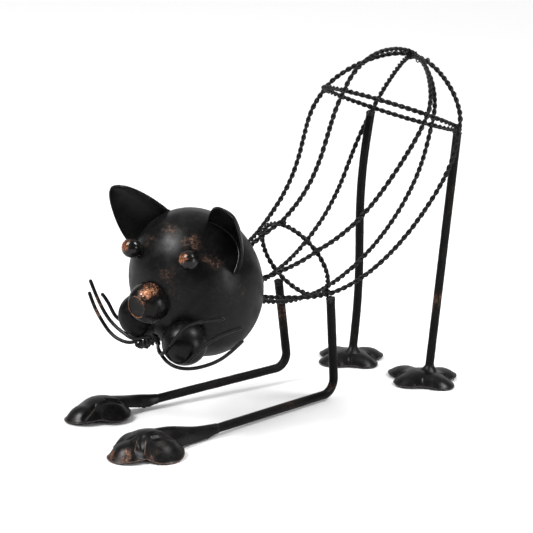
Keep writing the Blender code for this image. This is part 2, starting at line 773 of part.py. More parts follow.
def make_face(paints, parent):
    for side, eye in EYES.items():
        centre = on_head(eye["azimuth"], eye["elevation"], EYE_LIFT)
        axis = face_direction(eye["azimuth"], eye["elevation"])
        points, faces = seated_ball(centre, axis, EYE_RADIUS, EYE_RADIUS, 14, 7, 0.0, EYE_STUB_RADIUS)
        add_mesh("eye_" + side, points, faces, paints["eyes"], parent, centre)
    for side in CHEEKS:
        cheek = CHEEKS[side]
        axis = face_direction(cheek["azimuth"], cheek["elevation"])
        points, faces = seated_ball(cheek_centre(side), axis, cheek["radius"], cheek["radius"], 18, 6)
        add_mesh("cheek_" + side, points, faces, paints["head"], parent, cheek_centre(side))
    centre = nose_centre()
    axis = face_direction(NOSE_YAW, NOSE_PITCH)
    points, faces = seated_ball(centre, axis, NOSE_RADIUS, NOSE_HALF_LENGTH, 22, 6, NOSE_FLAT_RADIUS)
    add_mesh("nose", points, faces, paints["nose"], parent, centre)


def cheek_centre(side):
    cheek = CHEEKS[side]
    return on_head(cheek["azimuth"], cheek["elevation"], cheek["lift"])


def nose_centre():
    return on_head(NOSE["azimuth"], NOSE["elevation"], NOSE["lift"])


def ear_sheet(mirrored, across_steps=8, up_steps=8):
    inner, outer, tip = (np.array(point) for point in (EAR_INNER, EAR_OUTER, EAR_TIP))
    swept = tip + unit(np.array(EAR_SWEEP))
    if mirrored:
        inner, outer, tip, swept = (mirror_in_face(point) for point in (outer, inner, tip, swept))
    sweep = swept - tip
    middle = (inner + outer) / 2
    half = (outer - inner) / 2
    back = unit(np.cross(tip - middle, half))
    rooted = unit(middle - tip)

    def leaf(across, up):
        width = max(1 - up ** EAR_FULLNESS, 0.0) ** EAR_POINTEDNESS
        width = max(width, 0.06)
        cup = EAR_CUP * (1 - across * across) * width
        outward = -across if mirrored else across
        outer_share = ((1 + outward) / 2) ** 2
        opening = EAR_OPENING * math.sin(math.radians(EAR_SWEEP_TURN) * up)
        back_by = outer_share * opening + (1 - outer_share) * EAR_CURL * up ** 5
        width *= 1 + EAR_FLARE * math.sin(math.pi * up) * max(outward, 0.0)
        return middle + (tip - middle) * up + half * across * width + back * cup + sweep * back_by

    def faced(across, up):
        # Unit vector square to the sheet, towards the back of the head.
        small = 0.01
        sideways = leaf(across + small, up) - leaf(across - small, up)
        upward = leaf(across, min(up + small, 1.0)) - leaf(across, max(up - small, 0.0))
        square = unit(np.cross(upward, sideways))
        return square if square @ back > 0 else -square

    def skin(offset):
        rows = []
        for j in range(up_steps + 1):
            up = math.sin(math.pi / 2 * j / up_steps)
            row = []
            for i in range(across_steps + 1):
                across = 2 * i / across_steps - 1
                foot = leaf(across, 0.0) + faced(across, 0.0) * offset
                seated = head_hit(foot - rooted * HEAD_HALF.max(), rooted) - foot
                row.append(leaf(across, up) + faced(across, up) * offset + seated * (1 - up) ** 2)
            rows.append(row)
        return rows

    return skin(-SHEET_THICKNESS / 2), skin(SHEET_THICKNESS / 2)


def make_ear(name, mirrored, material, parent):
    front, back = ear_sheet(mirrored)
    rows, columns = len(front), len(front[0])
    points = [point for row in front for point in row] + [point for row in back for point in row]
    shift = rows * columns
    faces = []
    for j in range(rows - 1):
        for i in range(columns - 1):
            corner = j * columns + i
            quad = (corner, corner + 1, corner + columns + 1, corner + columns)
            faces.append(quad)
            faces.append(tuple(shift + index for index in reversed(quad)))
    border = list(range(columns))
    border += [j * columns + columns - 1 for j in range(1, rows)]
    border += [(rows - 1) * columns + i for i in reversed(range(columns - 1))]
    border += [j * columns for j in reversed(range(1, rows - 1))]
    for here, after in zip(border, border[1:] + border[:1]):
        faces.append((after, here, here + shift, after + shift))
    tip = np.array(EAR_TIP)
    add_mesh(name, points, faces, material, parent, mirror_in_face(tip) if mirrored else tip)


def whisker_path(name):
    # The wire is pressed outward wherever it would run into a cheek.
    controls = [from_face(*control) for control in WHISKERS[name]]
    path = smooth_path(controls, WHISKER_RINGS * 6)
    for side in CHEEKS:
        centre = cheek_centre(side)
        least = CHEEKS[side]["radius"] + WHISKER_DIAMETER / 2 + GAP
        for i, point in enumerate(path):
            away = point - centre
            if np.linalg.norm(away) < least:
                path[i] = centre + unit(away) * least
    return resample(path, WHISKER_RINGS)


def make_whiskers(material, parent):
    for name in WHISKERS:
        add_tube(name, whisker_path(name), WHISKER_DIAMETER, WIRE_SIDES, material, parent)


def centre_figure(figure):
    # The origin goes to the middle of the figure's outline in plan, level with its soles.
    bpy.context.view_layer.update()
    graph = bpy.context.evaluated_depsgraph_get()
    corners = []
    for part in figure.children:
        if part.hide_render:
            continue
        shown = part.evaluated_get(graph)
        mesh = shown.to_mesh()
        corners.extend(shown.matrix_world @ vertex.co for vertex in mesh.vertices)
        shown.to_mesh_clear()
    for axis in (0, 1):
        values = [corner[axis] for corner in corners]
        figure.location[axis] = -(min(values) + max(values)) / 2


def main():
    for old in list(bpy.data.objects):
        bpy.data.objects.remove(old, do_unlink=True)
    paints = {
        "cage": paint("cage_paint", (0.012, 0.012, 0.013), 0.48, 0.3),
        "legs": paint("leg_paint", (0.014, 0.013, 0.013), 0.45, 0.3),
        "paws": paint("paw_paint", (0.018, 0.015, 0.014), 0.42, 0.35),
        "head": paint("head_paint", (0.014, 0.013, 0.013), 0.45, 0.3),
        "ears": paint("ear_paint", (0.013, 0.012, 0.012), 0.45, 0.3),
        "eyes": paint("eye_paint", (0.05, 0.022, 0.014), 0.35, 0.5),
        "nose": paint("nose_paint", (0.10, 0.04, 0.022), 0.35, 0.6),
        "whiskers": paint("whisker_paint", (0.014, 0.012, 0.011), 0.4, 0.4),
    }
    figure = bpy.data.objects.new("figure", None)
    bpy.context.scene.collection.objects.link(figure)
    make_cage(paints["cage"], figure)
    make_legs(paints["legs"], figure)
    make_paws(paints["paws"], figure)
    make_head(paints["head"], figure)
    make_face(paints, figure)
    make_ear("ear_left", False, paints["ears"], figure)
    make_ear("ear_right", True, paints["ears"], figure)
    make_whiskers(paints["whiskers"], figure)
    centre_figure(figure)


main()
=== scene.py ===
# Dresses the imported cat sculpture: twisted wire, weld beads, pressed paws and worn black paint.
from math import acos, asin, atan2, cos, hypot, pi, radians, sin, sqrt, tan

import bmesh
import bpy
import numpy as np
from mathutils import Matrix, Vector, noise


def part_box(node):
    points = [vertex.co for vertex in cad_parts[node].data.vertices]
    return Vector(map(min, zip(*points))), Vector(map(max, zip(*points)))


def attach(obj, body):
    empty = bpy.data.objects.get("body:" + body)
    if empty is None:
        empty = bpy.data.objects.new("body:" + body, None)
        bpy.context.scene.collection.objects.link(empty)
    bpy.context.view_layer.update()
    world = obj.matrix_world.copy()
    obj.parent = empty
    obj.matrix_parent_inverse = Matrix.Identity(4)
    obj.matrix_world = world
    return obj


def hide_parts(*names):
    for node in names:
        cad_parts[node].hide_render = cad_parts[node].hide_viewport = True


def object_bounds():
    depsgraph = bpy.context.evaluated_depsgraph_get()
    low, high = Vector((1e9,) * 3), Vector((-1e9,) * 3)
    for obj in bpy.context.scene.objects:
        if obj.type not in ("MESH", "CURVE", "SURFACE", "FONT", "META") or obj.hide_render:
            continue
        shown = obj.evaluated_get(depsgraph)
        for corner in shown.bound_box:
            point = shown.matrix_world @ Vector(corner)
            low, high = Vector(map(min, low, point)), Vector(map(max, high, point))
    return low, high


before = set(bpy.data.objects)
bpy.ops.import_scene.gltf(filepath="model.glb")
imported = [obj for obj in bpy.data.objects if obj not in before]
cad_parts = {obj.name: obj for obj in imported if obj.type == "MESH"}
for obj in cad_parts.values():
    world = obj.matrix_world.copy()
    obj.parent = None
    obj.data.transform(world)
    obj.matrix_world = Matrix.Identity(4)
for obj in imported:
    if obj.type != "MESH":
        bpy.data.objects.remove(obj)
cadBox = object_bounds()
mm = 0.001

# The cat faces -Y and its left side is +X. Sizes are millimetres and degrees in the
# sculptor's own frame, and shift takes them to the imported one.
stock = {"rod": 6.0, "wire": 3.5, "whisker": 2.4, "sheet": 1.2, "gap": 0.3, "bend": 9.0,
         "muzzle": 2.2}
headSizes = {"centre": (0.0, -78.0, 94.1), "half": (43.5, 42.0, 50.6), "pitch": 25.0, "turn": 10.0}

headCentre = np.array(headSizes["centre"])
headHalf = np.array(headSizes["half"])
headLow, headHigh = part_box("head")
shift = (np.array(headLow) + np.array(headHigh)) / 2 / mm - headCentre


xAxis, zAxis = np.array([1.0, 0.0, 0.0]), np.array([0.0, 0.0, 1.0])


def place(point):
    return Vector((np.array(point) + shift) * mm)


def unit(vector):
    return vector / np.linalg.norm(vector)


def inPlane(first, second, turn):
    # Way that lies this far round from the first vector towards the second.
    return first * cos(turn) + second * sin(turn)


def uneven(point, size, grain):
    return size * noise.noise(Vector(point * grain))


# paths
def naturalSpline(knots, values):
    knots = np.array(knots, dtype=float)
    values = np.array(values, dtype=float)
    last = len(knots) - 1
    step = np.diff(knots)
    system = np.eye(last + 1)
    right = np.zeros_like(values)
    for i in range(1, last):
        system[i, i - 1:i + 2] = step[i - 1], 2 * (step[i - 1] + step[i]), step[i]
        ahead = (values[i + 1] - values[i]) / step[i]
        right[i] = 6 * (ahead - (values[i] - values[i - 1]) / step[i - 1])
    bend = np.linalg.solve(system, right)

    def valueAt(where):
        i = int(np.clip(np.searchsorted(knots, where) - 1, 0, last - 1))
        before = (knots[i + 1] - where) / step[i]
        after = 1 - before
        curve = (before ** 3 - before) * bend[i] + (after ** 3 - after) * bend[i + 1]
        return before * values[i] + after * values[i + 1] + curve * step[i] ** 2 / 6

    return valueAt


def pathLengths(points):
    return np.concatenate([[0.0], np.cumsum(np.linalg.norm(np.diff(points, axis=0), axis=1))])


def pointsAt(points, places):
    lengths = pathLengths(points)
    return np.stack([np.interp(places, lengths, axis) for axis in np.transpose(points)], axis=1)


def resample(points, count):
    return pointsAt(points, np.linspace(0, pathLengths(points)[-1], count))


def smoothPath(controls, count):
    controls = np.array(controls, dtype=float)
    curve = naturalSpline(pathLengths(controls), controls)
    total = pathLengths(controls)[-1]
    return np.array([curve(where) for where in np.linspace(0, total, count)])


def roundedBend(start, corner, end, radius, steps):
    back, ahead = unit(start - corner), unit(end - corner)
    half = acos(np.clip(back @ ahead, -1, 1)) / 2
    centre = corner + unit(back + ahead) * radius / sin(half)
    reach = radius / tan(half)
    first, last = corner + back * reach - centre, corner + ahead * reach - centre
    sweep = pi - 2 * half
    arc = []
    for i in range(steps + 1):
        turn = sweep * i / steps
        mix = sin(sweep - turn) * first + sin(turn) * last
        arc.append(centre + mix / sin(sweep))
    return arc


def sidesAlong(path, closed):
    # Tangents, and a side vector that turns with the path but never round it.
    if closed:
        ahead = np.roll(path, -1, axis=0) - np.roll(path, 1, axis=0)
    else:
        ahead = np.gradient(path, axis=0)
    ahead = ahead / np.linalg.norm(ahead, axis=1)[:, None]
    helper = zAxis if abs(ahead[0][2]) < 0.9 else xAxis
    sides = [unit(np.cross(ahead[0], helper))]
    for i in range(1, len(path)):
        sides.append(unit(sides[-1] - ahead[i] * (sides[-1] @ ahead[i])))
    return ahead, np.array(sides)


# head ball, as the frame has it
def faceDirection(azimuth, elevation):
    turn, rise = radians(azimuth), radians(elevation)
    level = cos(rise)
    return np.array([sin(turn) * level, -cos(turn) * level, sin(rise)])


headPitch = radians(headSizes["pitch"])
headTall = np.array([0.0, -sin(headPitch), cos(headPitch)])
headAxes = np.stack([xAxis, np.cross(headTall, xAxis), headTall])
faceTurn = radians(headSizes["turn"])
faceLeft = np.array([cos(faceTurn), sin(faceTurn), 0.0])
faceAhead = faceDirection(headSizes["turn"], 0.0)


def headLevel(point, clearance=0.0):
    return np.linalg.norm(headAxes @ (point - headCentre) / (headHalf + clearance)) - 1


def headHit(point, direction, clearance=0.0):
    start = headAxes @ (point - headCentre) / (headHalf + clearance)
    run = headAxes @ direction / (headHalf + clearance)
    a, b = run @ run, start @ run
    inside = max(b * b - a * (start @ start - 1), 0.0)
    return point + direction * (-b - sqrt(inside)) / a


def onHead(azimuth, elevation, lift):
    outward = faceDirection(azimuth, elevation)
    return headHit(headCentre + outward * headHalf.max() * 2, -outward) + outward * lift


def fromFace(side, ahead, up):
    return headCentre + faceLeft * side + faceAhead * ahead + zAxis * up


def mirrorInFace(point):
    return point - 2 * faceLeft * ((point - headCentre) @ faceLeft)


# camera at the photograph's viewing angle
view = {"azimuth": 46.376, "elevation": 14.919, "roll": 2.905, "distance": 1546.078,
        "aim": (0.0, 0.0, 90.0), "slide": (-11.35, 3.048), "lens": 155.347, "sensor": 36}


def addObject(name, data):
    made = bpy.data.objects.new(name, data)
    bpy.context.scene.collection.objects.link(made)
    return made


def aimCamera():
    turn, roll = radians(view["azimuth"]), radians(view["roll"])
    back = faceDirection(view["azimuth"], view["elevation"])
    level = np.array([cos(turn), sin(turn), 0.0])
    upright = np.cross(back, level)
    right, up = inPlane(level, upright, roll), inPlane(upright, -level, roll)
    eye = (np.array(view["aim"]) + back * view["distance"] + right * view["slide"][0]
           + up * view["slide"][1])
    data = bpy.data.cameras.new("viewCamera")
    data.lens, data.sensor_width, data.sensor_fit = view["lens"], view["sensor"], "HORIZONTAL"
    data.clip_start, data.clip_end = 0.05, 60
    camera = addObject("viewCamera", data)
    facing = Matrix((right, up, back)).transposed().to_4x4()
    camera.matrix_world = Matrix.Translation(place(eye)) @ facing
    bpy.context.scene.camera = camera
    return right, up, back


viewRight, viewUp, viewBack = aimCamera()


def fromView(point, right, up, back):
    return point + viewRight * right + viewUp * up + viewBack * back


print("camera placed")


# shader nodes
def setInputs(tree, node, inputs):
    # An input is given another node's output or else a constant.
    for key, value in inputs.items():
        if isinstance(value, bpy.types.NodeSocket):
            tree.links.new(value, node.inputs[key])
        else:
            node.inputs[key].default_value = value


def addNode(tree, kind, inputs, **settings):
    made = tree.nodes.new("ShaderNode" + kind)
    for key, value in settings.items():
        setattr(made, key, value)
    setInputs(tree, made, inputs)
    return made


def maths(tree, operation, first, second):
    return addNode(tree, "Math", {0: first, 1: second}, operation=operation).outputs[0]


def smoothRange(tree, value, low, high, toLow=0.0, toHigh=1.0):
    inputs = {"Value": value, "From Min": low, "From Max": high, "To Min": toLow, "To Max": toHigh}
    return addNode(tree, "MapRange", inputs, interpolation_type="SMOOTHSTEP").outputs["Result"]


# paint: what the shared group takes, with the values that a material may leave as they are
paintInputs = {
    "Position": (0.0, 0.0, 0.0), "Patches": 0.0, "Wear": 0.0, "Speck scale": 650.0,
    "Paint": (0.004, 0.0039, 0.004, 1), "Dusty paint": (0.0085, 0.0079, 0.0076, 1),
    "Stain": (0.026, 0.0145, 0.0105, 1), "Undercoat": (0.075, 0.038, 0.025, 1),
    "Bright undercoat": (0.22, 0.125, 0.085, 1), "Roughness": 0.36}
paintOutputs = {"Colour": "Color", "Roughness": "Float", "Metal": "Float", "Height": "Float"}
# scale, detail, roughness and distortion of each noise
paintNoise = {"specks": ("Speck scale", 8.0, 0.75, 0.8), "clouds": (95.0, 4.0, 0.6, 0.4),
              "grain": (2600.0, 2.0, 0.5, 0.0), "tint": (900.0, 4.0, 0.65, 0.0),
              "dents": (150.0, 3.0, 0.5, 0.0)}
# values between which each comes in, and what they become
paintRange = {"specks": (0.28, 0.72), "broken": (0.3, 0.7), "stained": (0.66, 1.0, 0.0, 0.8),
              "worn": (0.88, 1.08), "dusty": (0.42, 0.66), "tint": (0.4, 0.64),
              "gloss": (0.36, 0.66, -0.06, 0.1)}
# how much each counts
paintShare = {"patches": 0.34, "broken": 0.42, "specks": 0.5, "dustyClouds": 0.6, "dustySpecks": 0.4,
              "stainGloss": 0.06, "metal": 0.45, "grain": 0.2, "worn": 0.3, "dents": 0.9, "hollows": 0.5}
# share of a patch's radius and of the rim's height that is rubbed in full, and the bump's depth
rubbing = {"patchCore": 0.25, "rimCore": 0.4, "bumpDepth": 0.25}


def buildWornPaint():
    # Black paint over a copper brown undercoat, stained and rubbed through in specks and patches.
    tree = bpy.data.node_groups.new("wornPaint", "ShaderNodeTree")
    for name, value in paintInputs.items():
        kind = "Float" if isinstance(value, float) else "Vector" if len(value) == 3 else "Color"
        socket = tree.interface.new_socket(name=name, in_out="INPUT", socket_type="NodeSocket" + kind)
        socket.default_value = value
    for name, kind in paintOutputs.items():
        tree.interface.new_socket(name=name, in_out="OUTPUT", socket_type="NodeSocket" + kind)
    given, out = tree.nodes.new("NodeGroupInput").outputs, tree.nodes.new("NodeGroupOutput")

    def noiseOf(key):
        scale, detail, roughness, distortion = paintNoise[key]
        return addNode(tree, "TexNoise", {
            "Vector": given["Position"], "Scale": given[scale] if isinstance(scale, str) else scale,
            "Detail": detail, "Roughness": roughness, "Distortion": distortion}).outputs["Fac"]

    def plus(first, second):
        return maths(tree, "ADD", first, second)

    def part(value, key):
        return maths(tree, "MULTIPLY", value, paintShare[key])

    def ranged(value, key):
        return smoothRange(tree, value, *paintRange[key])

    def mixed(factor, first, second):
        inputs = {"Factor": factor, "A": first, "B": second}
        return addNode(tree, "Mix", inputs, data_type="RGBA").outputs["Result"]

    specks, clouds = ranged(noiseOf("specks"), "specks"), noiseOf("clouds")
    level = plus(part(given["Patches"], "patches"), given["Wear"])
    broken = part(ranged(clouds, "broken"), "broken")
    level = plus(plus(part(specks, "specks"), broken), level)
    stained, worn = ranged(level, "stained"), ranged(level, "worn")
    dusty = ranged(plus(part(clouds, "dustyClouds"), part(specks, "dustySpecks")), "dusty")
    painted = mixed(stained, mixed(dusty, given["Paint"], given["Dusty paint"]), given["Stain"])
    bare = mixed(ranged(noiseOf("tint"), "tint"), given["Undercoat"], given["Bright undercoat"])
    gloss = plus(given["Roughness"], ranged(clouds, "gloss"))
    height = maths(tree, "SUBTRACT", part(noiseOf("grain"), "grain"), part(worn, "worn"))
    dents = plus(part(noiseOf("dents"), "dents"), part(clouds, "hollows"))
    setInputs(tree, out, {
        "Colour": mixed(worn, painted, bare), "Roughness": plus(gloss, part(stained, "stainGloss")),
        "Metal": part(worn, "metal"), "Height": plus(height, dents)})
    return tree


wornPaint = buildWornPaint()


def paintMaterial(name, settings):
    # Patches are (place in the sculptor's frame, radius, strength) where the paint is rubbed.
    material = bpy.data.materials.new(name)
    material.use_nodes = True
    tree = material.node_tree
    where = addNode(tree, "TexCoord", {}).outputs["Object"]
    scale = settings.get("stretch", (1, 1, 1))
    inputs = {"Position": addNode(tree, "Mapping", {"Vector": where, "Scale": scale}).outputs["Vector"],
              **settings.get("paint", {})}
    rubs = []
    for centre, radius, strength in settings.get("patches", []):
        away = addNode(tree, "VectorMath", {0: where, 1: place(centre)}, operation="DISTANCE")
        rubs.append(smoothRange(tree, away.outputs["Value"], radius * rubbing["patchCore"] * mm,
                                radius * mm, strength, 0.0))
    if "rim" in settings:
        # The sheet's lower rim is rubbed bright up to this height.
        height, strength = settings["rim"]
        up = addNode(tree, "SeparateXYZ", {0: where}).outputs["Z"]
        rubs.append(smoothRange(tree, up, height * rubbing["rimCore"] * mm, height * mm, strength, 0.0))
    if rubs:
        strongest = rubs[0]
        for rub in rubs[1:]:
            strongest = maths(tree, "MAXIMUM", strongest, rub)
        inputs["Patches"] = strongest
    group = addNode(tree, "Group", inputs, node_tree=wornPaint).outputs
    bump = addNode(tree, "Bump", {"Height": group["Height"], "Strength": settings.get("bump", 0.3),
                                  "Distance": rubbing["bumpDepth"] * mm})
    setInputs(tree, tree.nodes["Principled BSDF"], {
        "Base Color": group["Colour"], "Roughness": group["Roughness"], "Metallic": group["Metal"],
        "Normal": bump.outputs["Normal"], "Specular IOR Level": settings.get("specular", 0.3)})
    return material


# pieces
def pieceName(node, ending=""):
    first, *others = node.split("_")
    return first + "".join(word.capitalize() for word in others) + ending


def wear(name, mesh, material, replaced=()):
    mesh.name = name
    mesh.materials.append(material)
    piece = addObject(name, mesh)
    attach(piece, "root")
    if replaced:
        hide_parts(*replaced)


def meshOf(bm, sharp):
    bmesh.ops.remove_doubles(bm, verts=bm.verts, dist=1e-6)
    bmesh.ops.recalc_face_normals(bm, faces=bm.faces)
    mesh = bpy.data.meshes.new("made")
    bm.to_mesh(mesh)
    bm.free()
    mesh.shade_smooth()
    mesh.set_sharp_from_angle(angle=radians(sharp))
    return mesh


def bakedMesh(holder, sharp):
    # Mesh of a curve or of an object with modifiers. The object itself is removed.
    bpy.context.view_layer.update()
    made = bpy.data.meshes.new_from_object(holder.evaluated_get(bpy.context.evaluated_depsgraph_get()))
    bpy.data.objects.remove(holder)
    bm = bmesh.new()
    bm.from_mesh(made)
    bpy.data.meshes.remove(made)
    return meshOf(bm, sharp)


def tubeMesh(runs, radius, sides):
    # Each run is (points, radius factors, closed).
    curve = bpy.data.curves.new("run", "CURVE")
    curve.dimensions = "3D"
    curve.bevel_depth = radius * mm
    curve.bevel_resolution = sides // 2 - 2
    curve.use_fill_caps = True
    for points, factors, closed in runs:
        spline = curve.splines.new("POLY")
        spline.points.add(len(points) - 1)
        for slot, point, factor in zip(spline.points, points, factors):
            slot.co = (*place(point), 1.0)
            slot.radius = factor
        spline.use_cyclic_u = closed
    mesh = bakedMesh(addObject("run", curve), sharp=60)
    bpy.data.curves.remove(curve)
    return mesh


def roundEnds(points, radius, steps=4, least=0.08):
    # Adds shrinking rings so that a tube ends in a dome inside its own length.
    lengths = pathLengths(points)
    total = lengths[-1]
    insets = [radius * (1 - cos(pi / 2 * i / steps)) for i in range(1, steps)]
    places = [*lengths, *insets, *(total - inset for inset in insets)]
    places = np.array(sorted(set(round(where, 6) for where in places)))
    short = 1 - np.clip(np.minimum(places, total - places) / radius, 0, 1)
    return pointsAt(points, places), np.maximum(np.sqrt(1 - short ** 2), least)


def domedTube(paths, radius, sides, lumps=0.0, grain=1.0):
    runs = []
    for path in paths:
        points, factors = roundEnds(path, radius)
        factors = [factor * (1 + uneven(point, lumps, grain)) for point, factor in zip(points, factors)]
        runs.append((points, factors, False))
    return tubeMesh(runs, radius, sides)


# half sizes, roughness and first seed of each kind of weld bead
welds = {"crossing": ((1.9, 1.7, 1.7), 0.35, 1), "neck": ((2.3, 2.0, 2.1), 0.3, 3),
         "legTop": ((3.2, 3.2, 1.8), 0.3, 20), "legSide": ((2.1, 2.2, 2.0), 0.4, 30),
         "wrist": ((2.3, 2.6, 1.5), 0.5, 40), "eye": ((1.2, 1.2, 1.2), 0.35, 70),
         "ear": ((1.1, 1.1, 1.3), 0.4, 120), "muzzle": ((1.9, 1.7, 1.6), 0.5, 150)}


def bead(bm, centre, kind, number):
    # Lump of weld metal, its size along the three axes of the frame.
    size, rough, first = welds[kind]
    seed = first + number
    for vert in bmesh.ops.create_icosphere(bm, subdivisions=3, radius=1)["verts"]:
        lump = 1 + rough * noise.noise(vert.co * 1.6 + Vector((seed * 7.3, seed * 3.1, seed)))
        lump += rough * 0.5 * noise.noise(vert.co * 4.0 + Vector((seed, 0, seed * 5.7)))
        vert.co = place(np.array(centre) + np.array(vert.co * lump) * np.array(size))


# cage of twisted wire
cage = {"lean": 2.0, "leanHeight": 100.0, "crownHeight": 41.0, "crownShift": 1.0,
        "steps": (240, 90), "seat": 0.4, "sinkReach": 26,
        "neck": {"y": -38.1, "z": 88.0, "radius": 15.3, "tilt": 29.2},
        "shoulder": {"y": 10.1, "z": 96.6, "radius": 29.8, "tilt": 28.2},
        "rump": {"y": 91.8, "z": 192.8, "radius": 49.0, "tilt": 70.0},
        "sections": [((16.3, 147.5), (75.2, 84.5), 42.6), ((27.5, 169.6), (109.6, 113.8), 48.4),
                     ((35.6, 196.1), (131.1, 144.8), 54.4)]}
# neck, shoulder and rump angles, the bulge between them, the dome's power, and how deep the
# wire lies where all of them cross at the crown
longWires = {
    "wire_spine": (-14.1, 3.4, 2.8, -2.2, 1.94, 0.0),
    "wire_belly": (176.5, 185.6, 187.0, -2.6, 1.75, 0.0),
    "wire_upper_left": (72.4, 61.0, 69.6, -2.7, 1.64, 3.4),
    "wire_upper_right": (-58.6, -63.1, -71.3, 8.7, 1.45, 1.8),
    "wire_lower_left": (127.6, 131.1, 106.3, -2.7, 1.58, 1.8),
    "wire_lower_right": (-134.0, -124.6, -124.2, 4.2, 1.32, 3.4),
}
twist = {"pitch": 9.4, "strand": 0.92, "spread": 0.86, "steps": 14, "sides": 8, "lumps": 0.16,
         "drift": (1.1, 0.06), "lumpGrain": 0.45, "looseness": 0.1, "looseGrain": 0.2}


def ringAxes(ring):
    tilt = radians(ring["tilt"])
    centre = np.array([0.0, ring["y"], ring["z"]])
    return centre, np.array([0.0, -sin(tilt), cos(tilt)]), np.array([0.0, cos(tilt), sin(tilt)])


def ringPoint(ring, angle, offset=0.0):
    centre, up = ringAxes(ring)[:2]
    return centre + inPlane(up, xAxis, radians(angle)) * (ring["radius"] + offset)


def leaned(point):
    return point + xAxis * tan(radians(cage["lean"])) * (point[2] - cage["leanHeight"])


def hoopRing(name):
    return np.array([leaned(ringPoint(cage[name], 2 * i)) for i in range(181)])


wireOffset = stock["wire"] + 2 * stock["gap"]


def ringSection(ring, offset):
    up, down = ringPoint(ring, 0.0, offset), ringPoint(ring, 180.0, offset)
    return [up[1], up[2], down[1], down[2], ring["radius"] + offset]


def trunkCurve():
    sections = [ringSection(cage["neck"], 0.0), ringSection(cage["shoulder"], wireOffset)]
    sections += [[*spine, *belly, half] for spine, belly, half in cage["sections"]]
    sections.append(ringSection(cage["rump"], wireOffset))
    return naturalSpline(range(len(sections)), sections), len(sections) - 1


def crownPoint():
    centre, up, outward = ringAxes(cage["rump"])
    return centre, centre + outward * cage["crownHeight"] - up * cage["crownShift"]


def wirePath(name):
    neck, shoulder, rump, bulge, power, deep = longWires[name]
    sectionAt, last = trunkCurve()
    points = []
    for where in np.linspace(0, last, cage["steps"][0]):
        if where < 1:
            angle = neck + (shoulder - neck) * where
        else:
            share = (where - 1) / (last - 1)
            angle = shoulder + (rump - shoulder) * share + bulge * 4 * share * (1 - share)
        spineY, spineZ, bellyY, bellyZ, halfWidth = sectionAt(where)
        middle = np.array([0.0, (spineY + bellyY) / 2, (spineZ + bellyZ) / 2])
        tall = np.array([0.0, (spineY - bellyY) / 2, (spineZ - bellyZ) / 2])
        points.append(leaned(middle + inPlane(tall, xAxis * halfWidth, radians(angle))))
    while headLevel(points[0], cage["seat"]) < 0:
        points.pop(0)
    centre, crown = crownPoint()
    start = ringPoint(cage["rump"], rump, wireOffset) - centre
    for turn in np.linspace(0, pi / 2, cage["steps"][1])[1:]:
        level, rise = cos(turn), sin(turn)
        size = (level ** power + rise ** power) ** (-1 / power)
        out = np.linalg.norm(start) * level * size
        sink = deep * max(1 - out / cage["sinkReach"], 0) ** 2
        points.append(leaned(centre + start * level * size + (crown - centre) * rise * size
                             - unit(crown - centre) * sink))
    return np.array(points)


def strands(path, closed, phase):
    # Two thin wires laid round each other. Their lay and thickness vary a little with the hand.
    ring = np.vstack([path, path[:1]]) if closed else path
    total = pathLengths(ring)[-1]
    turns = round(total / twist["pitch"]) if closed else total / twist["pitch"]
    count = int(turns * twist["steps"])
    fine = resample(ring, count + 1)
    if closed:
        fine = fine[:-1]
    low, high = (np.array(corner) / mm - shift for corner in cadBox)
    ahead, sides = sidesAlong(fine, closed)
    others = np.cross(ahead, sides)
    runs = []
    for strand in (0, 1):
        points, factors = [], []
        for i, centre in enumerate(fine):
            drift = 0 if closed else uneven(centre, *twist["drift"])
            angle = 2 * pi * turns * i / count + pi * strand + phase + drift
            lump = noise.noise(Vector(centre * twist["lumpGrain"] + strand * 31))
            loose = twist["looseness"] * noise.noise(Vector(centre * twist["looseGrain"] + 9))
            point = centre + inPlane(sides[i], others[i], angle) * twist["spread"] * (1 + loose)
            factors.append(1 + twist["lumps"] * lump)
            thick = twist["strand"] * factors[-1]
            points.append(np.clip(point, low + thick, high - thick))
        runs.append((points, factors, closed))
    return runs


cagePaint = paintMaterial("cagePaint", {
    "paint": {"Wear": -0.1, "Roughness": 0.42, "Speck scale": 900.0},
    "patches": [((48, 111, 186), 9, 0.5), ((-48, 75, 203), 8, 0.8),
                ((46, 60, 192), 6, 0.4)]})
cageRuns = {name + "_hoop": strands(hoopRing(name)[:-1], True, phase)
            for name, phase in (("shoulder", 0.4), ("rump", 1.3))}
cageRuns.update({name: strands(wirePath(name), False, i * 0.9) for i, name in enumerate(longWires)})
for name, runs in cageRuns.items():
    wear(pieceName(name.removeprefix("wire_"), "Twist"), tubeMesh(runs, twist["strand"], twist["sides"]),
         cagePaint, (name,))
print("cage twisted")


# weld beads where the long wires cross the hoops, and the binding at the crown
def makeCageWelds():
    bm = bmesh.new()
    for i, (name, angles) in enumerate(longWires.items()):
        for step, ring in enumerate(("shoulder", "rump")):
            spot = leaned(ringPoint(cage[ring], angles[step + 1], wireOffset / 2))
            bead(bm, spot, "crossing", 3 * i + step)
        bead(bm, wirePath(name)[0], "neck", 3 * i)
    return meshOf(bm, sharp=60)


wear("cageWelds", makeCageWelds(), cagePaint)

# turn and place of each winding; way to the right and up from the crossing, half width and half
# height of each slack loop
binding = {"thickness": 0.42, "wraps": 3, "reach": 2.5, "depth": 1.2, "advance": 1.8,
           "squash": (0.8, 0.9), "waver": 0.5, "windings": [(0.5, -2.2), (-0.6, 0.4), (2.2, 2.4)],
           "loops": [(-1.0, -3.1, 2.3, 1.5), (3.4, -6.3, 1.1, 1.7), (10.7, -6.4, 1.1, 1.7),
                     (-2.3, 0.1, 1.6, 1.9)]}


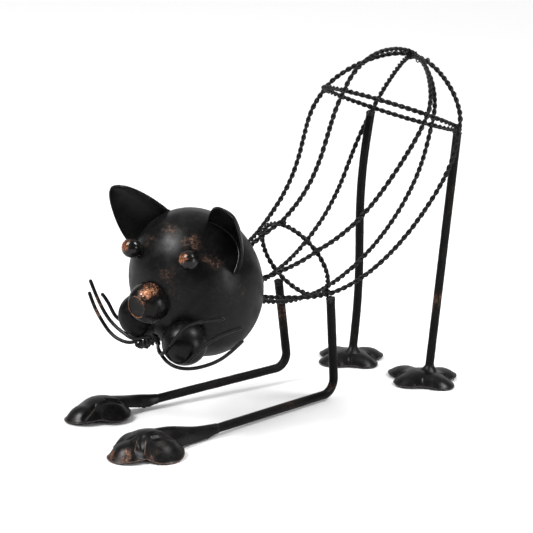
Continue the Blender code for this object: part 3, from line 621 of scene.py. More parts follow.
def makeBinding():
    # Thin wire wound round the crossing, with slack loops standing off it.
    centre, crown = (leaned(point) for point in crownPoint())
    down = unit(centre - crown)
    along = unit(np.cross(down, xAxis))
    across = np.cross(along, down)
    middle = crown + down * binding["depth"]
    wide, high = binding["squash"]
    runs = []
    for tilt, step in binding["windings"]:
        way = inPlane(along, across, tilt)
        other = np.cross(down, way)
        turns = []
        for share in np.linspace(0, 1, 60):
            angle = 2 * pi * binding["wraps"] * share
            reach = binding["reach"] * (1 + 0.1 * sin(angle * 0.7 + tilt))
            turns.append(middle + way * (step + (share - 0.5) * binding["advance"])
                         + inPlane(other * reach * wide, down * reach * high, angle))
        runs.append((turns, np.ones(len(turns)), False))
    wires = np.vstack([wirePath(name) for name in longWires])
    offsets = (wires - crown) @ np.stack([viewRight, viewUp, viewBack]).T
    for right, up, halfWide, halfHigh in binding["loops"]:
        # each loop hangs on the wire that passes behind it
        depth = offsets[np.argmin(np.hypot(offsets[:, 0] - right, offsets[:, 1] - up)), 2]
        loopMiddle = fromView(crown, right, up, depth)
        ring = [fromView(loopMiddle, halfWide * cos(angle), halfHigh * sin(angle),
                         binding["waver"] * sin(angle * 2)) for angle in np.linspace(0, 2 * pi, 37)[:-1]]
        runs.append((ring, np.ones(len(ring)), True))
    return tubeMesh(runs, binding["thickness"], 8)


wear("crownBinding", makeBinding(), cagePaint, ("crown_knot",))
print("crown bound")

# legs
frontLegs = {
    "left": {"angle": 127, "outset": 4.3, "elbow": (21.1, 34, 4.2), "wrist": (34.1, -85.6, 5)},
    "right": {"angle": -131, "outset": 2, "elbow": (-26, 34.1, 10.7), "wrist": (-32.6, -80.1, 5.8)}}
rearLegs = {"left": {"angle": 122.5, "outset": -1, "foot": (34, 114.6), "bow": 0, "sway": 0},
            "right": {"angle": -120, "outset": -2.5, "foot": (-29.1, 101.5), "bow": 2, "sway": 2.5}}
# how far a front rod runs past the wrist and a rear one into its paw, and the size and grain of
# the rods' unevenness
rodShape = {"past": 4, "sunk": 0.5, "samples": 1500, "sides": 28, "broad": (0.03, 0.12), "fine": (0.012, 0.5)}
# each toe is its direction, reach, half width and height, each lift of the rim its direction,
# height and narrowness
paws = {
    "front_left": {"centre": (36, -147), "dome": 15.2, "apex": 2,
                   "toes": [(-93, 26.6, 13.5, 10), (38, 24.5, 16.2, 11), (180, 25, 13, 10.5)],
                   "lifts": [(-47, 2.5, 10), (75, 4.5, 5)]},
    "front_right": {"centre": (-37.5, -126), "dome": 12.6, "apex": 4,
                    "toes": [(-92, 24.2, 12.8, 9.2), (42, 21.3, 14.5, 8.8), (180, 20, 12.8, 8.2)],
                    "lifts": [(-36, 2.8, 3), (65, 4.6, 4)]},
    "rear_left": {"centre": (32.8, 110.2), "dome": 8.5, "apex": 0,
                  "toes": [(-100, 23, 11.5, 6.2), (12, 24, 11.5, 6.2), (180, 30.5, 11.5, 6.2),
                           (90, 30.5, 11.5, 6.2)],
                  "lifts": [(-100, 0.6, 4), (12, 0.2, 4), (180, 1, 4), (90, 1.6, 4)]},
    "rear_right": {"centre": (-32, 102), "dome": 8, "apex": 0,
                   "toes": [(-100, 24.5, 11.5, 6.2), (12, 22, 11.5, 6.2), (180, 27, 11.5, 6.2),
                            (90, 30.5, 11.5, 6.2)],
                   "lifts": [(180, 0.4, 4), (90, 1, 4)]},
}
pawShape = {"toeHalfLength": 14.5, "rim": 1.2, "notchLift": 1.0, "dome": 17.0, "web": 13.6, "rearWeb": 16.0,
            "sole": 10.0, "blend": 8, "edgePower": 26, "edgeFall": 8, "spokes": 160, "rings": 36,
            "lip": 0.5, "lipHeight": 0.35, "dent": 0.3, "dentGrain": 0.12, "liftFall": 4, "dentFall": 6}


def wayOf(angle):
    return cos(radians(angle)), sin(radians(angle))


def isRear(paw):
    return len(paw["toes"]) == 4


def alongToe(angle, x, y):
    # How far along and across a toe's direction a spot lies.
    way = wayOf(angle)
    return x * way[0] + y * way[1], x * way[1] - y * way[0]


def toeEdge(toe, x, y):
    angle, reach, halfWidth = toe[:3]
    along, across = alongToe(angle, x, y)
    halfLength = pawShape["toeHalfLength"]
    centre = reach - halfLength
    a = (along / halfLength) ** 2 + (across / halfWidth) ** 2
    b = along * centre / halfLength ** 2
    c = (centre / halfLength) ** 2 - 1
    return (b + sqrt(max(b * b - a * c, 0.0))) / a


def pawEdge(paw, x, y):
    # Reach of the paw's outline in this direction.
    edges = [toeEdge(toe, x, y) for toe in paw["toes"]] + [pawShape["rearWeb" if isRear(paw) else "web"]]
    return sum(edge ** pawShape["edgePower"] for edge in edges) ** (1 / pawShape["edgePower"])


def edgeLift(paw, x, y):
    lift = pawShape["notchLift"] * sin(2 * atan2(y, x)) ** 2 if isRear(paw) else 0.0
    for angle, height, narrow in paw["lifts"]:
        lift += height * max(alongToe(angle, x, y)[0], 0.0) ** narrow
    return lift


def pawHeight(paw, x, y, edgeShare):
    shares = [(hypot(x, y - paw["apex"]) / pawShape["dome"], paw["dome"])]
    for angle, reach, halfWidth, toeHeight in paw["toes"]:
        along, across = alongToe(angle, x, y)
        along -= reach - pawShape["toeHalfLength"]
        shares.append((hypot(along / pawShape["toeHalfLength"], across / halfWidth), toeHeight))
    power = pawShape["blend"]
    total = sum((height * sqrt(max(1 - share * share, 0.0))) ** power for share, height in shares)
    return pawShape["rim"] + total ** (1 / power) * (1 - edgeShare ** pawShape["edgeFall"])


def pawTopNear(paw, spot):
    return pawHeight(paw, spot[0] - paw["centre"][0], spot[1] - paw["centre"][1], 0.0)


def topBelow(spot, lean, paths):
    reach = stock["rod"] / 2 + stock["wire"] / 2 + stock["gap"]
    heights = []
    for path in paths:
        dense = resample(path, rodShape["samples"])
        near = np.linalg.norm(dense[:, :2] - spot[:2], axis=1) < reach
        heights.extend(dense[near, 2])
    return min(heights) - stock["wire"] / 2 - stock["gap"] - stock["rod"] / 2 * sin(lean)


def leanOf(run):
    return atan2(hypot(run[0], run[1]), abs(run[2]))


def frontLegPath(side):
    leg = frontLegs[side]
    elbow, wrist = np.array(leg["elbow"]), np.array(leg["wrist"])
    top = leaned(ringPoint(cage["shoulder"], leg["angle"], leg["outset"]))
    top[2] = topBelow(top, leanOf(top - elbow), [wirePath("wire_lower_" + side), hoopRing("shoulder")])
    bend = roundedBend(top, elbow, wrist, stock["bend"], 16)
    return np.array([top, *bend, wrist + unit(wrist - elbow) * rodShape["past"]])


def rearLegPath(side):
    leg = rearLegs[side]
    top = leaned(ringPoint(cage["rump"], leg["angle"], leg["outset"]))
    foot = np.array([*leg["foot"], pawTopNear(paws["rear_" + side], leg["foot"]) - rodShape["sunk"]])
    top[2] = topBelow(top, leanOf(top - foot), [wirePath("wire_lower_" + side), hoopRing("rump")])
    points = []
    for share in np.linspace(0, 1, 40):
        turn = pi * share
        bend = leg["sway"] * sin(2 * turn) - leg["bow"] * sin(turn)
        points.append(foot + (top - foot) * share + [0, bend, 0])
    return np.array(points)


def onPath(path, share):
    return resample(path, 101)[int(round(share * 100))]


legPaths = {kind + "_" + side: route(side) for kind, route in (("front", frontLegPath), ("rear", rearLegPath))
            for side in ("left", "right")}
# share of the way along the leg, radius and strength
legPatches = {"front_left": [(0.3, 8, 0.6), (0.36, 9, 0.95), (0.62, 16, 0.45)],
              "front_right": [(0.12, 12, 0.9), (0.2, 9, 0.7), (0.7, 20, 0.4)],
              "rear_left": [(0.72, 18, 0.95), (0.3, 15, 0.85), (0.5, 14, 0.5)],
              "rear_right": [(0.97, 8, 0.6), (0.6, 20, 0.4)]}

for key, path in legPaths.items():
    kind, side = key.split("_")
    dense = resample(path, 150)
    factors = [1 + uneven(point, *rodShape["broad"]) + uneven(point, *rodShape["fine"]) for point in dense]
    paint = paintMaterial(pieceName(key, "LegPaint"), {
        "paint": {"Speck scale": 800.0}, "specular": 0.11,
        "stretch": (1.0, 1.0, 0.3) if kind == "rear" else (1.0, 0.4, 0.6),
        "patches": [(onPath(path, share), *rest) for share, *rest in legPatches[key]]})
    node = kind + "_leg_" + side
    wear(pieceName(node, "Rod"), tubeMesh([(dense, factors, False)], stock["rod"] / 2, rodShape["sides"]),
         paint, (node,))
print("legs bent")

# paws pressed from sheet
pawWear = {
    "front_left": [((40, -167.5, 5), 9, 1.35), ((33, -170, 4), 7, 1.1),
                   ((43, -161, 9), 4, 0.9), ((50.1, -155.2, 3.9), 5, 0.8),
                   ((50, -146, 9), 8, 0.35)],
    "front_right": [((-33, -140, 6), 8, 0.5), ((-20, -129, 3), 7, 0.6),
                    ((-45, -122, 9), 7, 0.4)],
    "rear_left": [((48, 95, 2), 9, 0.5)],
    "rear_right": [((-22, 86, 3), 9, 0.4)],
}
pawPaint = {key: paintMaterial(pieceName(key, "PawPaint"), {
    "paint": {"Wear": 0.0 if isRear(paws[key]) else 0.04, "Roughness": 0.33, "Speck scale": 620.0,
              "Undercoat": (0.13, 0.048, 0.024, 1)},
    "bump": 0.45, "specular": 0.24, "patches": patches,
    "rim": (1.7, 0.95 if key == "front_left" else 0.7)}) for key, patches in pawWear.items()}


def loft(sections, spokes, pointAt, closeTo=None):
    # Rings extruded one from another, each point placed by its section and the way round.
    bm = bmesh.new()
    around = bm.verts.layers.float.new("around")
    ring = bmesh.ops.create_circle(bm, cap_ends=True, segments=spokes, radius=1)["verts"]
    for vert in ring:
        vert[around] = atan2(vert.co.y, vert.co.x)
        vert.co = place(pointAt(sections[0], vert[around]))
    edges = [edge for edge in bm.edges if edge.is_boundary]
    for section in sections[1:]:
        made = bmesh.ops.extrude_edge_only(bm, edges=edges)["geom"]
        ring = [item for item in made if isinstance(item, bmesh.types.BMVert)]
        for vert in ring:
            vert.co = place(pointAt(section, vert[around]))
        edges = [item for item in made if isinstance(item, bmesh.types.BMEdge) and item.is_boundary]
    if closeTo is None:
        bmesh.ops.edgeloop_fill(bm, edges=edges)
    else:
        bmesh.ops.pointmerge(bm, verts=ring, merge_co=place(closeTo))
    return bm


# creases pressed into the sheet, as a line of spots from the paw's centre, depth and half width
creases = {
    "front_left": [([(4, -6.5), (8, -11.2), (14, -17.5)], 1.1, 3),
                   ([(-16, -9), (-6.6, -11.5), (-0.3, -9.6), (3, -8)], 0.8, 1.7),
                   ([(8.5, -1.5), (9.6, 3), (10.2, 9.5), (10.4, 20)], 1.2, 1.9),
                   ([(5, 2), (6.6, 7.1), (7, 15)], 0.8, 1.4)],
    "front_right": [([(4.5, -6.5), (6.8, -12), (8.2, -18)], 1.3, 1.8),
                    ([(6.2, -2.5), (7.8, 5), (10, 10.1), (9.8, 18)], 1.1, 1.7),
                    ([(5, 3), (6.4, 8), (7, 14)], 1.4, 1.4)]}
rearCreases = {"depth": 0.8, "halfWidth": 1.9, "reaches": (13.0, 22.0), "ways": (-44, -140, 51, 135)}
for key in ("rear_left", "rear_right"):
    creases[key] = [([[reach * part for part in wayOf(angle)] for reach in rearCreases["reaches"]],
                     rearCreases["depth"], rearCreases["halfWidth"]) for angle in rearCreases["ways"]]


def awayFromLine(x, y, line):
    spot, line = np.array([x, y]), np.array(line)
    nearest = 1e9
    for start, end in zip(line, line[1:]):
        run = end - start
        share = min(max((spot - start) @ run / (run @ run), 0), 1)
        nearest = min(nearest, hypot(*(spot - start - run * share)))
    return nearest


def creaseDepth(key, x, y):
    return max(depth * max(1 - (awayFromLine(x, y, line) / halfWidth) ** 2, 0) ** 1.5
               for line, depth, halfWidth in creases[key])


def onPaw(key, x, y, share):
    # Surface of the sheet at a spot given from the paw's centre and its share of the way out.
    paw = paws[key]
    cx, cy = paw["centre"]
    dent = uneven(Vector((cx + x, cy + y, 3.0)), pawShape["dent"], pawShape["dentGrain"])
    dent = (dent - creaseDepth(key, x, y)) * (1 - share ** pawShape["dentFall"])
    reach = max(hypot(x, y), 1e-6)
    lift = edgeLift(paw, x / reach, y / reach) * share ** pawShape["liftFall"]
    return np.array([cx + x, cy + y, pawHeight(paw, x, y, share) + lift + dent])


def pawMesh(key):
    paw = paws[key]
    cx, cy = paw["centre"]
    rings = pawShape["rings"]
    sections = [("sole", 0), ("under", 0.0), ("under", 1.0)]
    sections += [("top", sin(pi / 2 * i / rings)) for i in range(rings, 0, -1)]

    def pointAt(section, around):
        kind, share = section
        x, y = cos(around), sin(around)
        if kind == "sole":
            return [cx + x * pawShape["sole"], cy + y * pawShape["sole"], 0.0]
        edge = pawEdge(paw, x, y)
        if kind == "under":
            inset = edge - pawShape["lip"] * (1 - share)
            return [cx + x * inset, cy + y * inset, edgeLift(paw, x, y) + pawShape["lipHeight"] * share]
        return onPaw(key, x * edge * share, y * edge * share, share)

    return loft(sections, pawShape["spokes"], pointAt, onPaw(key, 0.0, 0.0, 0.0))


# cut edge of the sheet, rubbed to bare metal between two directions, and the lines of the folds
pawRim = {"directions": (-118, 62), "radius": 0.42, "height": 0.8, "steps": 130, "lumps": (0.35, 0.3)}
folds = {"radius": 0.36, "lumps": (0.4, 0.4)}
foldLines = {
    "front_left": [[(2.4, -9.3, 0), (6, -13.4, 0.1), (8.6, -16.4, 0.1)],
                   [(7.2, -6.1, 0), (9.9, -8.9, 0.1), (11.6, -10.6, 0.1)]],
    "front_right": [[(5.6, -6.8, 0), (8.3, -11.6, 0.2), (9.4, -15, 0.2)]]}


def rimMesh(paw):
    rim = []
    for angle in np.linspace(*pawRim["directions"], pawRim["steps"]):
        x, y = wayOf(angle)
        edge = pawEdge(paw, x, y)
        rim.append([paw["centre"][0] + x * edge, paw["centre"][1] + y * edge,
                    edgeLift(paw, x, y) + pawRim["height"]])
    return domedTube([rim], pawRim["radius"], 10, *pawRim["lumps"])


def foldMesh(key):
    # Each line is points (across, along, how proud of the sheet) from the paw's centre.
    paths = [smoothPath([onPaw(key, x, y, 0.0) + zAxis * proud for x, y, proud in line], 40)
             for line in foldLines[key]]
    return domedTube(paths, folds["radius"], 10, *folds["lumps"])


rubbedEdge = paintMaterial("rubbedEdge", {
    "paint": {"Paint": (0.05, 0.03, 0.022, 1), "Dusty paint": (0.13, 0.075, 0.05, 1), "Wear": 0.2,
              "Roughness": 0.3, "Undercoat": (0.2, 0.09, 0.05, 1), "Bright undercoat": (0.5, 0.26, 0.16, 1)},
    "specular": 0.5})
dullEdge = paintMaterial("dullEdge", {
    "paint": {"Paint": (0.02, 0.018, 0.017, 1), "Dusty paint": (0.06, 0.05, 0.045, 1),
              "Roughness": 0.3, "Undercoat": (0.2, 0.12, 0.08, 1)}, "specular": 0.5})
edgePaint = {key: rubbedEdge if key == "front_left" else dullEdge for key in paws}

for key, paw in paws.items():
    kind, side = key.split("_")
    wear(pieceName(key, "PawSheet"), meshOf(pawMesh(key), sharp=50), pawPaint[key],
         (kind + "_paw_" + side,))
    wear(pieceName(key, "PawRim"), rimMesh(paw), edgePaint[key])
for key in foldLines:
    wear(pieceName(key, "PawFolds"), foldMesh(key), edgePaint[key])

# its height on each side, and how far its lower side clears the floor a third and two thirds of the way
sleeve = {"halfWidth": 8.2, "wall": 0.5, "spokes": 64, "rings": 44, "end": 1.2, "least": 0.2, "blend": 0.15,
          "crease": 0.3, "height": {"left": 15.6, "right": 13.4},
          "clear": {"left": (1.6, 2.2), "right": (3.2, 5.8)}}


def sleeveMesh(side):
    # Wrist of sheet that wraps the end of the rod and runs down on to the paw.
    leg, paw = frontLegs[side], np.array([*paws["front_" + side]["centre"], 0.0])
    wrist = np.array(leg["wrist"])
    start = wrist + unit(wrist - np.array(leg["elbow"])) * stock["gap"]
    rod = stock["rod"] / 2 + sleeve["wall"]
    flatStart = np.array([start[0], start[1], 0.0])
    across = unit(np.cross(paw - flatStart, zAxis))
    wide, tall = sleeve["halfWidth"], sleeve["height"][side]
    third, far = sleeve["clear"][side]
    dome = paws["front_" + side]["dome"] + pawShape["rim"]
    shapes = {0.0: [rod, start[2] - rod, start[2] + rod],
              0.1: [rod * 1.02, start[2] - rod, start[2] + rod * 1.12],
              0.3: [rod * 1.2, third, start[2] + rod * 1.5], 0.62: [wide * 0.82, far, tall * 0.92],
              0.8: [wide * 0.95, far, tall], 0.94: [wide * 0.9, far, (tall + dome) / 2],
              1.06: [wide * 0.7, far, dome - 1.2], sleeve["end"]: [wide * 0.4, far, dome * 0.75]}
    shapeAt = naturalSpline(list(shapes), list(shapes.values()))

    def pointAt(share, around):
        width, low, high = shapeAt(share)
        low = max(low, sleeve["least"])
        middle = flatStart + (paw - flatStart) * share
        blend = min(share / sleeve["blend"], 1)
        full = (low + high) / 2 + (high - low) / 2 * sin(around)
        level = full + (max(low + (high - low) * sin(around), low) - full) * blend
        crease = uneven(Vector((share * 5, cos(around) * 1.4, sin(around) * 1.4)), sleeve["crease"], 1)
        return middle + across * (width + crease) * cos(around) + zAxis * (level + crease * 0.5)

    return loft(list(np.linspace(0, sleeve["end"], sleeve["rings"])), sleeve["spokes"], pointAt)


for side in ("left", "right"):
    wear("front" + side.capitalize() + "WristSleeve", meshOf(sleeveMesh(side), sharp=50),
         pawPaint["front_" + side])
print("paws pressed")


# head, eyes, nose and cheeks
def roundAxis(axis):
    side = unit(np.cross(axis, zAxis))
    return side, np.cross(axis, side)


def spun(profile, axis, centre, steps=96):
    # Profile points are (reach from the axis, way along it), turned once round the axis.
    bm = bmesh.new()
    verts = [bm.verts.new((reach, 0, along)) for reach, along in profile]
    edges = [bm.edges.new(pair) for pair in zip(verts, verts[1:])]
    bmesh.ops.spin(bm, geom=verts + edges, axis=(0, 0, 1), cent=(0, 0, 0), steps=steps, angle=2 * pi,
                   use_merge=True, use_duplicate=False)
    bmesh.ops.remove_doubles(bm, verts=bm.verts, dist=1e-5)
    side, other = roundAxis(axis)
    for vert in bm.verts:
        x, y, z = vert.co
        vert.co = place(centre + side * x + other * y + axis * z)
    return bm


def ellipseProfile(radius, halfLength, first, last, steps):
    return [(radius * sin(turn), halfLength * cos(turn)) for turn in np.linspace(first, last, steps)]


# how far the ball swells beyond the solid's size, and the size and grain of its unevenness
headUneven = {"swell": 1.011, "broad": (0.004, 2.2), "fine": (0.0012, 7.0)}


def headMesh():
    bm = bmesh.new()
    bmesh.ops.create_uvsphere(bm, u_segments=128, v_segments=96, radius=1)
    for vert in bm.verts:
        local = headAxes.T @ (np.array(vert.co) * headHalf)
        size = headUneven["swell"] + uneven(vert.co, *headUneven["broad"])
        vert.co = place(headCentre + local * (size + uneven(vert.co, *headUneven["fine"])))
    return bm


headPaint = paintMaterial("headPaint", {
    "paint": {"Roughness": 0.34, "Speck scale": 420.0},
    "specular": 0.22, "stretch": (0.75, 0.75, 1.0),
    "patches": [((4.1, -109.6, 132.4), 13, 0.95), ((22.1, -104.1, 128.4), 12, 1.2),
                ((35.4, -95, 117.7), 11, 0.8), ((15.7, -118.3, 106.8), 11, 0.78),
                ((21.3, -116, 97.9), 9, 0.75), ((43.4, -78.8, 97.5), 9, 0.75),
                ((33.5, -50.4, 93.4), 10, 0.9), ((-2.5, -114.6, 126.4), 10, 0.8)]})
wear("headBall", meshOf(headMesh(), sharp=40), headPaint, ("head",))

# the collar's points (out, up) from the stub's foot, and the rubbed patch (right, up, towards the
# camera) from the bead's middle in radii
eyes = {"left": (41.6, 29.8), "right": (-15.5, 29.4), "radius": 6.4, "stub": 3.3, "lift": 7.0, "seat": 1.0,
        "collar": [(0.0, 1.2), (0.5, 0.5), (0.6, 0.0)], "patch": (-0.6, 0.35, 0.7),
        "beads": 9, "beadRing": 3.3, "beadLift": 0.9}
cheeks = {"left": (40.0, -35.7, 7.2, 14.7), "right": (-27.2, -30.4, -0.4, 14.7)}
# the lip's points (out, ahead) from the flat's edge, and the back's from the barrel's widest ring
nose = {"place": (7.7, -6.6, 2.4), "radius": 13.5, "halfLength": 14.0, "flat": 6.9, "yaw": 6.0, "pitch": -5.0,
        "rim": 0.35, "ring": 0.34, "rubbed": (6.5, 9.5, 4.0), "round": (0.03, 0.49 * pi),
        "lip": [(-1.0, -0.35), (-0.45, -0.245), (-0.15, -0.05), (0.1, -0.05)],
        "back": [(0.0, -0.2), (-0.15, -0.6), (-0.9, -1.1), (-1.0, -8)]}

for side, specular in (("left", 0.2), ("right", 0.1)):
    azimuth, elevation = eyes[side]
    centre, axis = onHead(azimuth, elevation, eyes["lift"]), faceDirection(azimuth, elevation)
    radius, stub, depth = eyes["radius"], eyes["stub"], eyes["lift"] + eyes["seat"]
    profile = ellipseProfile(radius, radius, 0, pi - asin(stub / radius), 40)
    profile += [(stub + out, up - depth) for out, up in eyes["collar"]] + [(0, -depth)]
    outer = fromView(centre, *(radius * part for part in eyes["patch"]))
    paint = paintMaterial("eyePaint" + side.capitalize(), {
        "paint": {"Roughness": 0.2, "Speck scale": 800.0, "Undercoat": (0.16, 0.052, 0.024, 1),
                  "Bright undercoat": (0.5, 0.2, 0.1, 1)},
        "specular": 0.45, "bump": 0.2, "patches": [(outer, 7.5, 1.9)]})
    wear("eyeBead" + side.capitalize(), meshOf(spun(profile, axis, centre), sharp=50), paint,
         ("eye_" + side,))
    azimuth, elevation, lift, radius = cheeks[side]
    ball = spun(ellipseProfile(radius, radius, 0, pi, 72), faceDirection(azimuth, elevation),
                onHead(azimuth, elevation, lift))
    paint = paintMaterial("cheekPaint" + side.capitalize(), {
        "paint": {"Wear": -0.1, "Roughness": 0.26, "Speck scale": 480.0}, "specular": specular, "bump": 0.25})
    wear("cheekBall" + side.capitalize(), meshOf(ball, sharp=50), paint, ("cheek_" + side,))

noseTurn = asin(nose["flat"] / nose["radius"])
noseFront = nose["halfLength"] * cos(noseTurn)
noseProfile = [(0, noseFront - nose["rim"])]
noseProfile += [(nose["flat"] + out, noseFront + ahead) for out, ahead in nose["lip"]]
noseProfile += ellipseProfile(nose["radius"], nose["halfLength"], noseTurn + nose["round"][0],
                              nose["round"][1], 30)
noseProfile += [(nose["radius"] + out, ahead) for out, ahead in nose["back"]] + [(0, nose["back"][-1][1])]
noseCentre, noseAxis = onHead(*nose["place"]), faceDirection(nose["yaw"], nose["pitch"])
rubAhead, rubUp, rubRight = nose["rubbed"]
noseTop = noseCentre + noseAxis * rubAhead + zAxis * rubUp + viewRight * rubRight
nosePaint = paintMaterial("nosePaint", {
    "paint": {"Wear": 0.1, "Roughness": 0.24, "Speck scale": 760.0, "Undercoat": (0.22, 0.07, 0.028, 1),
              "Bright undercoat": (0.75, 0.36, 0.2, 1)},
    "specular": 0.22, "bump": 0.35,
    "patches": [(noseTop, 12.0, 1.5), (noseTop + noseAxis * 4 - viewUp * 9, 8, 0.75)]})
wear("noseBarrel", meshOf(spun(noseProfile, noseAxis, noseCentre, 128), sharp=35), nosePaint,
     ("nose",))
# rubbed edge round the flat of the nose
noseSide, noseDown = roundAxis(noseAxis)
ring = [noseCentre + noseAxis * noseFront + inPlane(noseSide, -noseDown, turn) * nose["flat"]
        for turn in np.linspace(0, 2 * pi, 97)[:-1]]
factors = [1 + uneven(point, 0.45, 0.35) for point in ring]
ringPaint = paintMaterial("ringPaint", {
    "paint": {"Wear": 0.5, "Roughness": 0.3, "Undercoat": (0.15, 0.06, 0.028, 1),
              "Bright undercoat": (0.36, 0.15, 0.075, 1)},
    "specular": 0.4})
wear("noseRing", tubeMesh([(ring, factors, True)], nose["ring"], 10), ringPaint)
print("face seated")

# ears cut from sheet and cupped
ears = {"inner": (18.2, -86.6, 140.8), "outer": (39.7, -82.1, 107.3), "tip": (51.7, -104.5, 153.4),
        "cup": 11.4, "fullness": 1.49, "pointedness": 0.55, "flare": 0.13,
        "sweep": (0.43, 0.87, -0.26), "sweepTurn": 108.0, "opening": 7.3, "curl": 4.8,
        "grid": 44, "seam": 0.55, "seamAhead": 0.75, "seamSpan": 0.97, "seamLift": 0.5, "bevel": 0.3}


def earLeaf(mirrored):
    # Point of the leaf across (-1 to 1) and up (0 to 1) it, its foot seated on the ball.
    inner, outer, tip = (np.array(ears[key]) for key in ("inner", "outer", "tip"))
    swept = tip + unit(np.array(ears["sweep"]))
    if mirrored:
        inner, outer, tip, swept = (mirrorInFace(point) for point in (outer, inner, tip, swept))
    middle, half = (inner + outer) / 2, (outer - inner) / 2
    back = unit(np.cross(tip - middle, half))
    rooted = unit(middle - tip)

    def leaf(across, up):
        width = max(max(1 - up ** ears["fullness"], 0.0) ** ears["pointedness"], 0.06)
        cup = ears["cup"] * (1 - across ** 2) * width
        outward = -across if mirrored else across
        outerShare = ((1 + outward) / 2) ** 2
        opening = ears["opening"] * sin(radians(ears["sweepTurn"]) * up)
        backBy = outerShare * opening + (1 - outerShare) * ears["curl"] * up ** 5
        width *= 1 + ears["flare"] * sin(pi * up) * max(outward, 0.0)
        return middle + (tip - middle) * up + half * across * width + back * cup + (swept - tip) * backBy

    def pointAt(across, up):
        foot = leaf(across, 0.0)
        seated = headHit(foot - rooted * headHalf.max(), rooted, 0.1) - foot
        return leaf(across, up) + seated * (1 - up) ** 2

    return pointAt


def earMesh(mirrored):
    pointAt = earLeaf(mirrored)
    bm = bmesh.new()
    bmesh.ops.create_grid(bm, x_segments=ears["grid"], y_segments=ears["grid"], size=1)
    for vert in bm.verts:
        vert.co = place(pointAt(vert.co.x, sin(pi / 2 * (vert.co.y + 1) / 2)))
    mesh = bpy.data.meshes.new("leaf")
    bm.to_mesh(mesh)
    bm.free()
    holder = addObject("leaf", mesh)
    thick = holder.modifiers.new("sheet", "SOLIDIFY")
    thick.thickness = stock["sheet"] * mm
    thick.offset = 0
    soft = holder.modifiers.new("softEdge", "BEVEL")
    soft.width = ears["bevel"] * mm
    soft.segments = 2
    soft.limit_method = "ANGLE"
    soft.angle_limit = radians(50)
    return bakedMesh(holder, sharp=45)


farTip = mirrorInFace(np.array(ears["tip"]))
earPaint = paintMaterial("earPaint", {
    "paint": {"Wear": -0.06, "Speck scale": 500.0},
    "patches": [(farTip + [2, 0, -5], 9, 0.7), (farTip + [-4, 0, -16], 7, 0.5)]})
# painted highlight: the ear seam's lighter grey paint stands for the light that the edge catches
seamHighlightPaint = paintMaterial("seamHighlightPaint", {
    "paint": {"Paint": (0.03, 0.03, 0.03, 1), "Dusty paint": (0.06, 0.058, 0.055, 1), "Wear": -0.1,
              "Roughness": 0.25},
    "specular": 0.6})
for side in ("left", "right"):
    wear("earLeaf" + side.capitalize(), earMesh(side == "right"), earPaint, ("ear_" + side,))
    # The joint is filled with a thin weld bead along the cupped side. Its lighter grey, glossy paint is a
    # painted highlight for the light line that the joint's edge catches.
    leafAt = earLeaf(side == "right")
    seam = []
    for across in np.linspace(-ears["seamSpan"], ears["seamSpan"], 60):
        inward = -unit(leafAt(across, 0.03) - headCentre)
        start = leafAt(across, 0.0) + faceAhead * ears["seamAhead"] - inward * 20
        seam.append(headHit(start, inward, ears["seamLift"]))
    wear("earSeam" + side.capitalize(), domedTube([seam], ears["seam"], 12), seamHighlightPaint)
print("ears cupped")

# whiskers, root first, as (to the cat's left, ahead, up) from the head's centre
whiskers = {
    "whisker_left_1": [(14.5, 50, -34.7), (24.3, 50.5, -23.1), (31.3, 50, -14.7), (37.7, 50, -10.2),
        (48.6, 50, -5.7), (62.4, 50, -1.2)],
    "whisker_left_2": [(29.9, 44, -38.3), (36.9, 44, -30.8), (44.8, 44, -22.8), (53, 44, -16.6),
        (61, 44, -11.7), (72.3, 44, -6)],
    "whisker_left_3": [(6.1, 44, -34.4), (10.3, 44, -39.2), (17.4, 44, -42.7), (24.8, 44, -43.2),
        (34.5, 44, -41.2), (45.5, 44, -36.7), (56.4, 44, -30.2), (64.4, 44, -23.3), (73.2, 44, -14.1)],
    "whisker_right_1": [(-18, 32.5, -35.4), (-22.5, 35, -38.3), (-30.2, 36, -39.1), (-40.4, 36, -36.1),
        (-48.6, 36, -29.2), (-54.1, 36, -22.8), (-60.5, 36, -12)],
    "whisker_right_2": [(-6, 36, -30.6), (-16.5, 36, -33.9), (-24.7, 36, -34.7), (-31.8, 36, -32.8),
        (-40.7, 36, -28.2), (-49.9, 36, -19.1), (-60, 36, -3.6)],
    "whisker_right_3": [(-35.6, 32, -27.4), (-39.1, 33, -25.1), (-45.4, 33, -18.1), (-52.3, 33, -11.9)],
}


def whiskerPath(name):
    path = smoothPath([fromFace(*control) for control in whiskers[name]], 70)
    for side in ("left", "right"):
        azimuth, elevation, lift, radius = cheeks[side]
        centre = onHead(azimuth, elevation, lift)
        least = radius + stock["whisker"] / 2 + 0.05
        for i, point in enumerate(path):
            if np.linalg.norm(point - centre) < least:
                path[i] = centre + unit(point - centre) * least
    return path


whiskerPaint = paintMaterial("whiskerPaint", {
    "paint": {"Wear": -0.04, "Roughness": 0.3, "Speck scale": 900.0},
    "patches": [(fromFace(-52.0, 36.0, -16.5), 8, 1.1), (fromFace(-52.5, 36.0, -25.0), 7, 1.1),
                (fromFace(48.0, 51.0, -6.0), 9, 0.5)]})
for name in whiskers:
    wear(pieceName(name), domedTube([whiskerPath(name)], stock["whisker"] / 2, 16), whiskerPaint,
         (name,))
print("whiskers bent")


